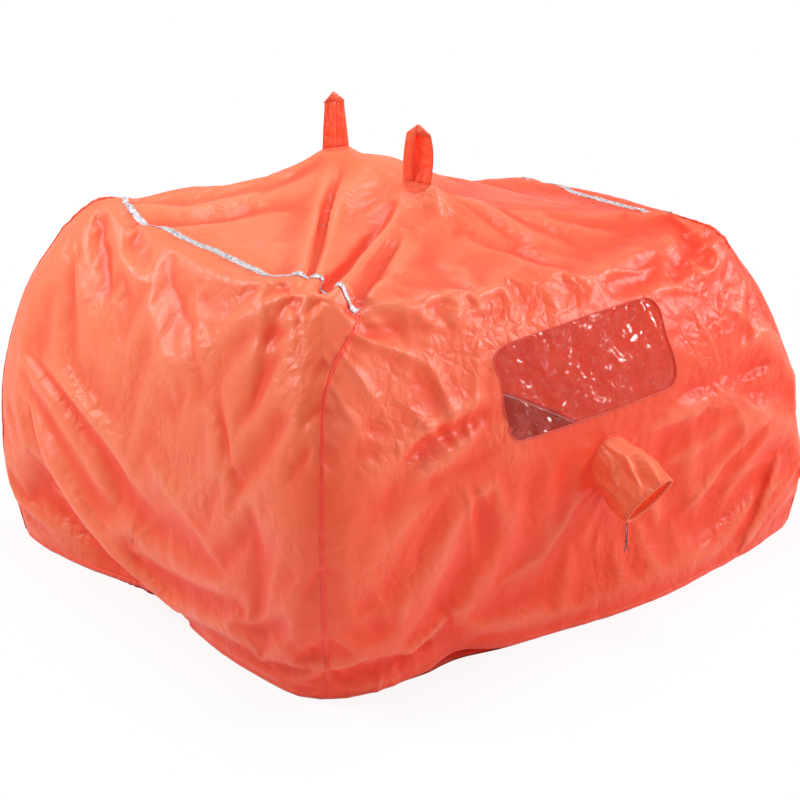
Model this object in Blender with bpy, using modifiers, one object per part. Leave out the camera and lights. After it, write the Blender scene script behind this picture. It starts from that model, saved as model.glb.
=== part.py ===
"""Group shelter: a bag of thin coated cloth to sit in, out of the wind.

One long body panel runs up the front, over the roof and down the rear. Two end
panels close it. A clear window and a vent sleeve are let into the front, two
loops stand on the ridge, and a seat is sewn along each long hem.
Metres, +Z up, the window faces -Y, the origin is the middle of the footprint.
"""

import math

import bmesh
import bpy
from mathutils import Matrix, Vector

# Canopy, metres
CANOPY_LENGTH = 1.650
CANOPY_WIDTH = 1.290
RIDGE_HEIGHT = 0.970
RIDGE_SPAN = 0.310
RIDGE_TOP_WIDTH = 0.024
RIDGE_DRIFT = -0.130
END_SLOPE = -0.105
RIDGE_SLOPE = 0.065
CLOTH = 0.0015
CLEARANCE = 0.0003

# Wall outlines from the floor up: height, inset from the widest outline, squareness, drift
WALL_OUTLINES = {
    "hem": (0.000, 0.038, 10.0, 0.000),
    "skirt": (0.120, 0.018, 11.0, 0.000),
    "lower": (0.260, 0.002, 12.0, 0.000),
    "belly": (0.430, 0.000, 12.0, 0.000),
    "upper": (0.600, 0.034, 11.0, -0.003),
    "shoulder": (0.735, 0.098, 9.0, -0.012),
    "turn": (0.815, 0.172, 7.5, -0.030),
    "crown": (0.848, 0.262, 5.5, -0.045),
}
# Roof outlines: share of the way in to the ridge, share of the rise, squareness
ROOF_OUTLINES = {
    "eaves": (0.28, 0.18, 4.0),
    "slope": (0.60, 0.48, 3.2),
    "ridge": (1.00, 1.00, 3.0),
}
# How the load inside pushes a corner out: sides, reach at hem, belly and roof, rise of the roof
CORNERS = {
    "front_left": (-1, -1, -0.012, 0.000, 0.020, 0.015),
    "rear_left": (-1, 1, 0.052, 0.015, 0.015, 0.008),
    "front_right": (1, -1, 0.022, -0.045, 0.000, 0.040),
    "rear_right": (1, 1, 0.000, 0.000, -0.030, -0.052),
}
BELLY_LEVEL = 0.40
SHOULDER_LEVEL = 0.62
SHOULDER_SPREAD = 0.20
# Where a hem strays from its straight line: side, middle and spread along it, reach
HEM_SWAYS = {
    "front": (0, -1, 0.22, 0.52, 0.078),
    "left": (-1, 0, 0.05, 0.28, -0.032),
}
HEM_SWAY_LEVEL = 0.20

# Where the panels meet, as a share of the way out from the ridge to the hem
RIDGE_SHARE = 0.0625
END_SEAM_SHARE = 0.375
PANEL_GAP_SHARE = 0.0024
BODY_COLUMNS = 24
WALL_ROWS = 14
ROOF_ROWS = 8
BODY_ROWS = 2 * (WALL_ROWS + ROOF_ROWS + 1)
END_COLUMNS = 2 * (ROOF_ROWS + 1)

# Tapes and bindings
HEM_TAPE_HEIGHT = 0.012
HEM_TAPE_THICK = 0.005
HEM_TAPE_END_SHARE = 0.007
HEM_STATIONS = 24
TAPE_LIFT = 0.0009
CORNER_TAPE_WIDTH = 0.012
CORNER_TAPE_THICK = 0.0016
STRIP_WIDTH = 0.016
STRIP_THICK = 0.0008

# Window
WINDOW_WIDTH = 0.555
WINDOW_HEIGHT = 0.215
WINDOW_CHAMFER = 0.050
WINDOW_WAISTING = 0.016
WINDOW_CENTRE_X = 0.004
WINDOW_CENTRE_Z = 0.615
WINDOW_OVERLAP = 0.012
FILM = 0.0005

# Vent sleeve, along its own axis from the hinge point out to the mouth
VENT_CENTRE_X = 0.041
VENT_CENTRE_Z = 0.385
VENT_DROOP = math.radians(23)
VENT_ROOT_RADIUS = 0.0665
VENT_ROOT_BACK = -0.012
VENT_ROOT_FRONT = 0.045
VENT_BULGE_RADIUS = 0.058
VENT_LENGTH = 0.138
VENT_MOUTH_LONG = 0.072
VENT_MOUTH_SHORT = 0.027
VENT_MOUTH_TURN = math.radians(40)
VENT_HOLE_CLEARANCE = 0.0008
BINDING_WIDTH = 0.009
BINDING_THICK = 0.0016
CASING_DEPTH = 0.014
CASING_GAP = 0.0038
VENT_STEPS = 32

# Drawcord
CORD_RADIUS = 0.0011
CORD_EYELET_RADIUS = 0.0022
CORD_DROP = 0.046
CORD_TAIL = 0.020
KNOT_RADIUS = 0.0042

# Ridge loops
LOOP_HEIGHT = 0.138
LOOP_WIDTH = 0.062
NEAR_LOOP_SPREAD = 0.020
LOOP_FOOT_HEIGHT = 0.009
LOOP_SLOT_TOP = 0.104
LOOP_SLOT_WIDTH = 0.016
LOOP_PEAK_WIDTH = 0.012
LOOP_SHOULDER_DROP = 0.022
LOOP_THICK = 0.0024
LOOP_GAP = 0.0015
NEAR_LOOP_TURN = math.radians(-72)
FAR_LOOP_TURN = math.radians(-15)
PATCH_RADIUS = 0.036
PATCH_THICK = 0.0012

# Seats
SEAT_LENGTH = 1.240
SEAT_DEPTH = 0.300
SEAT_THICK = 0.0030
SEAT_EDGE_GAP = 0.014
SEAT_CORNER = 0.030
SEAT_TAPE_WIDTH = 0.010
SEAT_TAPE_THICK = 0.0042
GUSSET_THICK = 0.0012

EXACT_MERGE = 0.0001


def remove_everything():
    """Empties the scene, so that the model starts from nothing."""
    for item in list(bpy.data.objects):
        bpy.data.objects.remove(item, do_unlink=True)


def new_collection(name):
    collection = bpy.data.collections.new(name)
    bpy.context.scene.collection.children.link(collection)
    return collection


def make_material(name, colour, roughness, metallic=0.0, alpha=1.0):
    """One Principled finish for one sub-part."""
    material = bpy.data.materials.new(name)
    material.use_nodes = True
    shader = material.node_tree.nodes["Principled BSDF"]
    shader.inputs["Base Color"].default_value = (*colour, 1.0)
    shader.inputs["Roughness"].default_value = roughness
    shader.inputs["Metallic"].default_value = metallic
    shader.inputs["Alpha"].default_value = alpha
    material.diffuse_color = (*colour, alpha)
    return material


CLOTH_ORANGE = (0.84, 0.10, 0.045)
TAPE_ORANGE = (0.90, 0.16, 0.08)
HEM_ORANGE = (0.72, 0.07, 0.03)
SEAT_ORANGE = (0.62, 0.07, 0.03)
SILVER = (0.72, 0.74, 0.76)
CLEAR = (0.85, 0.87, 0.88)
CORD_GREY = (0.22, 0.21, 0.22)


def add_part(name, mesh, material, collection):
    """Puts a mesh in the scene as one named sub-part."""
    part = bpy.data.objects.new(name, mesh)
    part.data.materials.clear()
    part.data.materials.append(material)
    collection.objects.link(part)
    return part


def add_modifier(part, kind, **settings):
    modifier = part.modifiers.new(kind.title(), kind)
    for key, value in settings.items():
        setattr(modifier, key, value)
    return modifier


# The canopy's surface
def canopy_outlines():
    """Half length, half width, height, squareness and drift of each outline, hem to ridge."""
    rows = []
    for height, inset, squareness, drift in WALL_OUTLINES.values():
        half_length = CANOPY_LENGTH / 2 - inset
        half_width = CANOPY_WIDTH / 2 - inset
        rows.append((height, half_length, half_width, squareness, drift))
    crown = rows[-1]
    ridge = (RIDGE_HEIGHT, RIDGE_TOP_WIDTH / 2, RIDGE_SPAN / 2, 0.0, RIDGE_DRIFT)
    for share, rise, squareness in ROOF_OUTLINES.values():
        row = [low + (high - low) * share for low, high in zip(crown, ridge)]
        row[0] = crown[0] + (ridge[0] - crown[0]) * rise
        row[3] = squareness
        rows.append(tuple(row))
    return rows


OUTLINES = canopy_outlines()


def smooth_step(start, end, value):
    share = min(max((value - start) / (end - start), 0.0), 1.0)
    return share * share * (3.0 - 2.0 * share)


def outline_at(level):
    """A smooth curve through the outlines: 0 is the hem and 1 is the ridge."""
    last = len(OUTLINES) - 1
    place = min(max(level, 0.0), 1.0) * last
    start = min(int(place), last - 1)
    t = place - start
    before = OUTLINES[max(start - 1, 0)]
    after = OUTLINES[min(start + 2, last)]
    values = []
    for a, b, c, d in zip(before, OUTLINES[start], OUTLINES[start + 1], after):
        cubic = (3 * b - a - 3 * c + d) * t ** 3
        square = (2 * a - 5 * b + 4 * c - d) * t ** 2
        values.append(0.5 * (2 * b + (c - a) * t + square + cubic))
    return values


def corner_push(p, q, level):
    """How far the load inside pushes this point out of the plain outline."""
    below_belly = 1.0 - smooth_step(0.0, BELLY_LEVEL, level)
    below_shoulder = 1.0 - smooth_step(BELLY_LEVEL, SHOULDER_LEVEL, level)
    below_ridge = 1.0 - smooth_step(SHOULDER_LEVEL, 1.0, level)
    shoulder_band = math.exp(-(((level - SHOULDER_LEVEL) / SHOULDER_SPREAD) ** 2))
    push = Vector((0.0, 0.0, 0.0))
    for side_x, side_y, hem, belly, roof, rise in CORNERS.values():
        nearness = max(0.0, p * side_x) ** 3 * max(0.0, q * side_y) ** 3
        low = hem * below_belly + belly * (1.0 - below_belly)
        reach = low * below_shoulder + roof * (1.0 - below_shoulder) * below_ridge
        push += Vector((side_x * reach, side_y * reach, rise * shoulder_band)) * nearness
    return push


def hem_sway(p, q, level):
    """How far the foot of a wall strays out from its straight line, or in if negative."""
    near_floor = 1.0 - smooth_step(0.0, HEM_SWAY_LEVEL, level)
    sway = Vector((0.0, 0.0, 0.0))
    for side_x, side_y, middle, spread, reach in HEM_SWAYS.values():
        facing = max(0.0, p * side_x + q * side_y) ** 6
        along = q if side_x else p
        bow = math.exp(-(((along - middle) / spread) ** 2))
        sway += Vector((side_x, side_y, 0.0)) * reach * bow * facing * near_floor
    return sway


def canopy_point(a, b):
    """A point of the outer surface. a runs left to right and b front to rear, -1 to 1.

    The canopy is laid out as a square: its rim is the hem and its middle the ridge.
    """
    share = max(abs(a), abs(b))
    if share < 1e-9:
        p, q = 1.0, 0.0
    else:
        p, q = a / share, b / share
    level = (1.0 - share) / (1.0 - RIDGE_SHARE)
    height, half_length, half_width, squareness, drift = outline_at(level)
    radius = (abs(p) ** squareness + abs(q) ** squareness) ** (-1.0 / squareness)
    radius *= min(1.0, share / RIDGE_SHARE)
    x = drift + half_length * p * radius
    y = half_width * q * radius
    lean = min(1.0, height / WALL_OUTLINES["turn"][0]) ** 2
    z = height + END_SLOPE * x * lean + RIDGE_SLOPE * y * smooth_step(0.75, 1.0, level)
    return Vector((x, y, z)) + corner_push(p, q, level) + hem_sway(p, q, level)


def canopy_normal(a, b):
    """The outward direction, from two short steps along the surface."""
    step = 0.004
    along = canopy_point(a + step, b) - canopy_point(a - step, b)
    across = canopy_point(a, b + step) - canopy_point(a, b - step)
    return along.cross(across).normalized()


def share_at_height(height):
    """How far out from the ridge the wall stands at a height above the floor."""
    low, high = 0.5, 1.0
    for _ in range(40):
        middle = (low + high) / 2
        if canopy_point(0.0, -middle).z > height:
            low = middle
        else:
            high = middle
    return high


PANEL_FOOT = share_at_height(HEM_TAPE_HEIGHT + CLEARANCE)
CORNER_TAPE_TOP = END_SEAM_SHARE + CORNER_TAPE_WIDTH
CORNER_TAPE_FOOT = share_at_height(HEM_TAPE_HEIGHT + 4 * CLEARANCE)


# Cloth pieces cut from that surface
def grid_mesh(name, place, columns, rows, lift=0.0):
    """An open sheet: place(u, v) gives its spot on the canopy, lift its height above it."""
    bm = bmesh.new()
    lines = []
    for row in range(rows + 1):
        line = []
        for column in range(columns + 1):
            a, b = place(column / columns, row / rows)
            spot = canopy_point(a, b) + canopy_normal(a, b) * lift
            line.append(bm.verts.new(spot))
        lines.append(line)
    for low, high in zip(lines, lines[1:]):
        for column in range(columns):
            bm.faces.new((low[column], low[column + 1], high[column + 1], high[column]))
    bmesh.ops.triangulate(bm, faces=bm.faces, quad_method="FIXED")
    bm.normal_update()
    middle = Vector((0.0, 0.0, WALL_OUTLINES["belly"][0]))
    outward = sum(face.normal.dot(face.calc_center_median() - middle) for face in bm.faces)
    if outward < 0:
        bmesh.ops.reverse_faces(bm, faces=bm.faces)
    mesh = bpy.data.meshes.new(name)
    bm.to_mesh(mesh)
    bm.free()
    return mesh


def roof_share(steps):
    """From the middle of the ridge, 0, out to the roof seam: one step to the ridge's end."""
    if steps <= 1:
        return RIDGE_SHARE * steps
    return RIDGE_SHARE + (END_SEAM_SHARE - RIDGE_SHARE) * (steps - 1) / ROOF_ROWS


def wall_share(drop):
    """From the roof seam, 0, down to the foot of the wall, 1."""
    return END_SEAM_SHARE + (PANEL_FOOT - END_SEAM_SHARE) * drop


def body_edge(b):
    """The body panel's side seam: straight over the roof, then out to the hem's corner."""
    return max(END_SEAM_SHARE, abs(b))


def place_on_body(u, v):
    """The body panel's own u, v: left to right, then front hem to rear hem.

    Rows of cells are shared out between the ridge, the roof and the walls, so that
    every piece that meets at a seam has its corners at the same places.
    """
    steps = (v - 0.5) * BODY_ROWS
    down = abs(steps)
    if down <= 1 + ROOF_ROWS:
        b = roof_share(down)
    else:
        b = wall_share((down - 1 - ROOF_ROWS) / WALL_ROWS)
    b = math.copysign(b, steps)
    edge = body_edge(b) - PANEL_GAP_SHARE
    return edge * (2.0 * u - 1.0), b


def place_on_end(side):
    """The end panel's own u, v: along the floor, then up to the roof seam."""
    def place(u, v):
        share = wall_share(1.0 - v)
        steps = (u - 0.5) * END_COLUMNS
        across = math.copysign(roof_share(abs(steps)) / END_SEAM_SHARE, steps)
        return side * (share + PANEL_GAP_SHARE * v), (share - PANEL_GAP_SHARE) * across
    return place


def cloth_panel(name, mesh, thickness, material, collection):
    """Gives an open sheet its thickness, inwards from its outer face."""
    part = add_part(name, mesh, material, collection)
    add_modifier(part, "SOLIDIFY", thickness=thickness, offset=-1.0)
    return part


def raised_strip(name, place, columns, rows, thickness, material, collection):
    """A tape that lies on the canopy, thickened outwards."""
    mesh = grid_mesh(name, place, columns, rows, lift=TAPE_LIFT)
    part = add_part(name, mesh, material, collection)
    add_modifier(part, "SOLIDIFY", thickness=thickness, offset=1.0, use_even_offset=True)
    return part


def boolean(part, cutter, operation):
    add_modifier(part, "BOOLEAN", object=cutter, operation=operation, solver="EXACT")


def add_cutter(name, mesh, collection, matrix=None):
    cutter = bpy.data.objects.new(name, mesh)
    cutter.hide_render = True
    cutter.display_type = "WIRE"
    collection.objects.link(cutter)
    if matrix is not None:
        cutter.matrix_world = matrix
    return cutter


def cylinder_mesh(name, radius, depth, segments=40):
    bm = bmesh.new()
    bmesh.ops.create_cone(
        bm, cap_ends=True, segments=segments, radius1=radius, radius2=radius, depth=depth)
    mesh = bpy.data.meshes.new(name)
    bm.to_mesh(mesh)
    bm.free()
    return mesh


def outline_mesh(name, outlines, half_depth):
    """A flat outline with a thickness, as a plain closed mesh. Later outlines are holes."""
    curve = bpy.data.curves.new(name, "CURVE")
    curve.dimensions = "2D"
    curve.fill_mode = "BOTH"
    curve.extrude = half_depth
    for points in outlines:
        spline = curve.splines.new("POLY")
        spline.points.add(len(points) - 1)
        for target, (x, y) in zip(spline.points, points):
            target.co = (x, y, 0.0, 1.0)
        spline.use_cyclic_u = True
    source = bpy.data.objects.new(name, curve)
    bpy.context.scene.collection.objects.link(source)
    depsgraph = bpy.context.evaluated_depsgraph_get()
    mesh = bpy.data.meshes.new_from_object(source.evaluated_get(depsgraph))
    bpy.data.objects.remove(source, do_unlink=True)
    bm = bmesh.new()
    bm.from_mesh(mesh)
    bmesh.ops.remove_doubles(bm, verts=bm.verts, dist=EXACT_MERGE / 10)
    bmesh.ops.recalc_face_normals(bm, faces=bm.faces)
    bm.to_mesh(mesh)
    bm.free()
    return mesh


def make_body_and_ends(parts):
    """The three cut pieces of cloth that make the bag."""
    orange = make_material("coated_cloth_body", CLOTH_ORANGE, 0.45)
    sheet = grid_mesh("body_panel", place_on_body, BODY_COLUMNS, BODY_ROWS)
    body = cloth_panel("body_panel", sheet, CLOTH, orange, parts)
    for name, side in (("left_end_panel", -1), ("right_end_panel", 1)):
        finish = make_material("coated_cloth_" + name, CLOTH_ORANGE, 0.45)
        sheet = grid_mesh(name, place_on_end(side), END_COLUMNS, WALL_ROWS)
        cloth_panel(name, sheet, CLOTH, finish, parts)
    return body


def make_corner_tapes(parts):
    """A folded tape binds each upright corner seam, from the hem to the roof seam."""
    for name, (side_x, side_y, *_) in CORNERS.items():
        foot = canopy_point(side_x * PANEL_FOOT, side_y * PANEL_FOOT)
        nearby = canopy_point(side_x * PANEL_FOOT, side_y * (PANEL_FOOT - 0.01))
        half_share = CORNER_TAPE_WIDTH / 2 / ((nearby - foot).length / 0.01)

        def place(u, v, side_x=side_x, side_y=side_y, half_share=half_share):
            share = min(max(wall_share(1.0 - v), CORNER_TAPE_TOP), CORNER_TAPE_FOOT)
            turn = half_share * (2.0 * u - 1.0) * side_x * side_y
            if turn > 0:
                return side_x * share, side_y * (share - turn)
            return side_x * (share + turn), side_y * share

        finish = make_material("seam_tape_" + name, TAPE_ORANGE, 0.5)
        raised_strip(name + "_seam", place, 2, WALL_ROWS, CORNER_TAPE_THICK, finish, parts)


def make_roof_strips(parts):
    """A reflective tape covers the seam between the roof and each end panel."""
    middle = canopy_point(END_SEAM_SHARE, 0.0)
    nearby = canopy_point(END_SEAM_SHARE - 0.01, 0.0)
    half_share = STRIP_WIDTH / 2 / ((middle - nearby).length / 0.01)
    for name, side in (("left_reflective_strip", -1), ("right_reflective_strip", 1)):
        def place(u, v, side=side):
            a = side * END_SEAM_SHARE + half_share * (2.0 * u - 1.0)
            steps = (2.0 * v - 1.0) * ROOF_ROWS
            return a, math.copysign(roof_share(abs(steps)), steps)

        finish = make_material(name, SILVER, 0.3, 0.4)
        raised_strip(name, place, 2, 2 * ROOF_ROWS, STRIP_THICK, finish, parts)


def make_hem_tapes(parts):
    """A rolled tape closes the foot of each panel and rests on the floor."""
    outward = (HEM_TAPE_THICK - CLOTH) / 2
    edge = 1.0 - HEM_TAPE_END_SHARE
    sides = {"front": (0, -1), "rear": (0, 1), "left": (-1, 0), "right": (1, 0)}
    for side, (side_x, side_y) in sides.items():
        def place(u, v, side_x=side_x, side_y=side_y):
            run = PANEL_FOOT * edge * (2.0 * u - 1.0)
            if side_x:
                return side_x * PANEL_FOOT, run
            return run, side_y * PANEL_FOOT

        name = "hem_tape_" + side
        mesh = grid_mesh(name, place, HEM_STATIONS, 1, lift=outward)
        for vertex in mesh.vertices[:HEM_STATIONS + 1]:
            vertex.co.z = 0.0
        for vertex in mesh.vertices[HEM_STATIONS + 1:]:
            vertex.co.z = HEM_TAPE_HEIGHT
        mesh.update()
        if mesh.polygons[0].normal.dot(Vector((side_x, side_y, 0.0))) < 0:
            mesh.flip_normals()
        part = add_part(name, mesh, make_material(name, HEM_ORANGE, 0.6), parts)
        add_modifier(part, "SOLIDIFY", thickness=HEM_TAPE_THICK, offset=-1.0,
                     use_even_offset=True)


def window_outline(margin):
    """The window's shape: corners cut off, sides slightly waisted."""
    half_width = WINDOW_WIDTH / 2 + margin
    half_height = WINDOW_HEIGHT / 2 + margin
    cut = WINDOW_CHAMFER
    waist = half_width - WINDOW_WAISTING
    right = [
        (half_width - cut, -half_height),
        (half_width - 0.25 * cut, -half_height + 0.25 * cut),
        (half_width, -half_height + cut),
        (waist, 0.25 * half_height),
        (half_width - 0.1 * cut, half_height - 0.8 * cut),
        (half_width - 0.4 * cut, half_height - 0.2 * cut),
        (half_width - cut, half_height),
    ]
    left = [(-x, y) for x, y in reversed(right)]
    return right + left


def make_window(body, parts, cutters):
    """A clear film sewn behind a shaped opening in the front wall."""
    stand = Matrix.Rotation(math.radians(90), 4, "X")
    centre = Vector((WINDOW_CENTRE_X, -CANOPY_WIDTH / 2, WINDOW_CENTRE_Z))
    matrix = Matrix.Translation(centre) @ stand
    opening = outline_mesh("window_opening", [window_outline(0.0)], 0.25)
    boolean(body, add_cutter("window_opening", opening, cutters, matrix), "DIFFERENCE")

    film_sheet = grid_mesh("window_film", place_on_body, BODY_COLUMNS, BODY_ROWS,
                           lift=-CLOTH - CLEARANCE)
    keep_near_wall(film_sheet, centre, WINDOW_WIDTH, WINDOW_HEIGHT)
    clear = make_material("clear_film", CLEAR, 0.08, 0.0, 0.35)
    film = cloth_panel("window_film", film_sheet, FILM, clear, parts)
    rim = outline_mesh("film_outline", [window_outline(WINDOW_OVERLAP)], 0.25)
    boolean(film, add_cutter("film_outline", rim, cutters, matrix), "INTERSECT")


def keep_near_wall(mesh, centre, width, height):
    """Drops the faces of a sheet that lie well away from a place on the front wall."""
    bm = bmesh.new()
    bm.from_mesh(mesh)
    far = []
    for face in bm.faces:
        spot = face.calc_center_median()
        beyond = abs(spot.x - centre.x) > width or abs(spot.z - centre.z) > height
        if beyond or spot.y > 0:
            far.append(face)
    bmesh.ops.delete(bm, geom=far, context="FACES")
    bm.to_mesh(mesh)
    bm.free()


def vent_place():
    """The hinge point of the vent on the wall, the wall's direction and the sleeve's."""
    low, high = END_SEAM_SHARE, 1.0
    for _ in range(40):
        middle = (low + high) / 2
        if canopy_point(0.0, -middle).z > VENT_CENTRE_Z:
            low = middle
        else:
            high = middle
    b = -high
    across = canopy_point(0.05, b).x - canopy_point(-0.05, b).x
    a = VENT_CENTRE_X / (across / 0.1)
    outward = canopy_normal(a, b)
    point = canopy_point(a, b) + outward * (CLEARANCE + BINDING_THICK / 2)
    hinge = Vector((0, 0, 1)).cross(outward).normalized()
    axis = Matrix.Rotation(VENT_DROOP, 3, hinge) @ outward
    return point, outward, hinge, axis


def frame_matrix(point, forward, side):
    """A placing whose local Z runs along forward and local X along side."""
    z = forward.normalized()
    x = (side - z * side.dot(z)).normalized()
    y = z.cross(x)
    turn = Matrix((x, y, z)).transposed().to_4x4()
    return Matrix.Translation(point) @ turn


def vent_section(along, turn, offset):
    """A point of the sleeve in its own frame. The round root flattens towards the mouth.

    turn runs round from the mouth's long axis, and offset is outwards from the outer face.
    """
    if along < VENT_ROOT_FRONT:
        radius = math.sqrt(VENT_ROOT_RADIUS ** 2 - along ** 2)
    else:
        neck = math.sqrt(VENT_ROOT_RADIUS ** 2 - VENT_ROOT_FRONT ** 2)
        flare = smooth_step(VENT_ROOT_FRONT, VENT_LENGTH * 0.85, along)
        radius = neck + (VENT_BULGE_RADIUS - neck) * flare
    flat = smooth_step(VENT_ROOT_FRONT, VENT_LENGTH, along)
    long = radius + (VENT_MOUTH_LONG - radius) * flat
    short = radius + (VENT_MOUTH_SHORT - radius) * flat
    spot = Vector((long * math.cos(turn), short * math.sin(turn), 0.0))
    spot += Vector((math.cos(turn) / long, math.sin(turn) / short, 0.0)).normalized() * offset
    spot.rotate(Matrix.Rotation(VENT_MOUTH_TURN, 3, "Z"))
    spot.z = along
    return spot


def vent_profile():
    """Round the cut edge of the sleeve: distance along the axis and offset from its outer face."""
    stops = [VENT_ROOT_BACK + (VENT_ROOT_FRONT - VENT_ROOT_BACK) * step / 5 for step in range(6)]
    stops += [VENT_ROOT_FRONT + (VENT_LENGTH - VENT_ROOT_FRONT) * step / 6 for step in range(1, 7)]
    inner = -CLOTH - CASING_GAP
    fold = [
        (VENT_LENGTH, inner - CLOTH),
        (VENT_LENGTH - CASING_DEPTH, inner - CLOTH),
        (VENT_LENGTH - CASING_DEPTH, inner),
        (VENT_LENGTH - CLOTH, inner),
        (VENT_LENGTH - CLOTH, -CLOTH),
    ]
    outer = [(along, 0.0) for along in stops]
    inside = [(along, -CLOTH) for along in reversed(stops[:-1])]
    return outer + fold + inside


def make_vent(body, parts, cutters):
    """A sleeve of cloth let into the front wall, with a folded casing for its drawcord."""
    point, outward, hinge, axis = vent_place()
    wall_frame = frame_matrix(point, outward, hinge)
    hole = cylinder_mesh("vent_hole", VENT_ROOT_RADIUS + BINDING_WIDTH * 0.4, 0.08)
    boolean(body, add_cutter("vent_hole", hole, cutters, wall_frame), "DIFFERENCE")

    name = "vent_root_binding"
    sheet = grid_mesh(name, place_on_body, BODY_COLUMNS, BODY_ROWS, lift=CLEARANCE)
    keep_near_wall(sheet, point, 0.16, 0.16)
    binding = add_part(name, sheet, make_material(name, TAPE_ORANGE, 0.5), parts)
    add_modifier(binding, "SOLIDIFY", thickness=BINDING_THICK, offset=1.0, use_even_offset=True)
    outside = cylinder_mesh("binding_outside", VENT_ROOT_RADIUS + BINDING_WIDTH, 0.06)
    inside = cylinder_mesh("binding_inside", VENT_ROOT_RADIUS + VENT_HOLE_CLEARANCE, 0.08, 56)
    boolean(binding, add_cutter("binding_outside", outside, cutters, wall_frame), "INTERSECT")
    boolean(binding, add_cutter("binding_inside", inside, cutters, wall_frame), "DIFFERENCE")

    sleeve_frame = frame_matrix(point, axis, hinge)
    hinge_empty = bpy.data.objects.new("vent_hinge", None)
    parts.objects.link(hinge_empty)
    hinge_empty.matrix_world = sleeve_frame

    bm = bmesh.new()
    rings = []
    for along, offset in vent_profile():
        turns = [math.tau * step / VENT_STEPS for step in range(VENT_STEPS)]
        rings.append([bm.verts.new(vent_section(along, turn, offset)) for turn in turns])
    for ring, following in zip(rings, rings[1:] + rings[:1]):
        for step in range(VENT_STEPS):
            ahead = (step + 1) % VENT_STEPS
            bm.faces.new((ring[step], ring[ahead], following[ahead], following[step]))
    bmesh.ops.triangulate(bm, faces=bm.faces, quad_method="FIXED")
    bmesh.ops.recalc_face_normals(bm, faces=bm.faces)
    mesh = bpy.data.meshes.new("vent_sleeve")
    bm.to_mesh(mesh)
    bm.free()
    sleeve = add_part("vent_sleeve", mesh, make_material("vent_sleeve", CLOTH_ORANGE, 0.45), parts)
    sleeve.parent = hinge_empty
    return sleeve_frame, hinge_empty, sleeve


def poly_tube(name, points, radius, material, parts, cyclic=False):
    """A cord: a curve with a round bevel and closed ends."""
    curve = bpy.data.curves.new(name, "CURVE")
    curve.dimensions = "3D"
    curve.bevel_depth = radius
    curve.bevel_resolution = 2
    curve.use_fill_caps = not cyclic
    spline = curve.splines.new("POLY")
    spline.points.add(len(points) - 1)
    for target, spot in zip(spline.points, points):
        target.co = (*spot, 1.0)
    spline.use_cyclic_u = cyclic
    part = bpy.data.objects.new(name, curve)
    part.data.materials.append(material)
    parts.objects.link(part)
    return part


def smooth_route(route, steps):
    """Points of one smooth curve through a route's own points."""
    points = []
    for index in range(len(route) - 1):
        before = route[max(index - 1, 0)]
        after = route[min(index + 2, len(route) - 1)]
        b, c = route[index], route[index + 1]
        for step in range(steps):
            t = step / steps
            square = (before * 2 - b * 5 + c * 4 - after) * t ** 2
            cubic = (b * 3 - before - c * 3 + after) * t ** 3
            points.append((b * 2 + (c - before) * t + square + cubic) * 0.5)
    points.append(route[-1].copy())
    return points


def make_drawcord(sleeve_frame, hinge_empty, sleeve, parts, cutters):
    """A cord round the mouth, inside the casing. Its two ends hang out, knotted together."""
    grey = make_material("flecked_cord", CORD_GREY, 0.8)
    along = VENT_LENGTH - CASING_DEPTH / 2
    turns = [math.tau * step / 48 for step in range(48)]
    ring = [vent_section(along, turn, -CLOTH - CASING_GAP / 2) for turn in turns]
    loop = poly_tube("drawcord_loop", ring, CORD_RADIUS, grey, parts, cyclic=True)
    loop.parent = hinge_empty

    # The eyelet is at the lowest side of the mouth
    lowest = min(turns, key=lambda turn: (sleeve_frame @ vent_section(along, turn, 0.0)).z)
    inner = sleeve_frame @ vent_section(along, lowest, -CLOTH)
    exit_point = sleeve_frame @ vent_section(along, lowest, 0.0)
    out = (exit_point - inner).normalized()
    hole = cylinder_mesh("cord_eyelet", CORD_EYELET_RADIUS * 1.6, CLOTH + CASING_GAP, 12)
    turn = frame_matrix(exit_point, out, Vector((1, 0, 0)))
    boolean(sleeve, add_cutter("cord_eyelet", hole, cutters, turn), "DIFFERENCE")

    start = inner + out * CLEARANCE
    knot_centre = start + out * 0.010 + Vector((0.002, 0.0, -CORD_DROP))
    return start, out, knot_centre, grey


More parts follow.
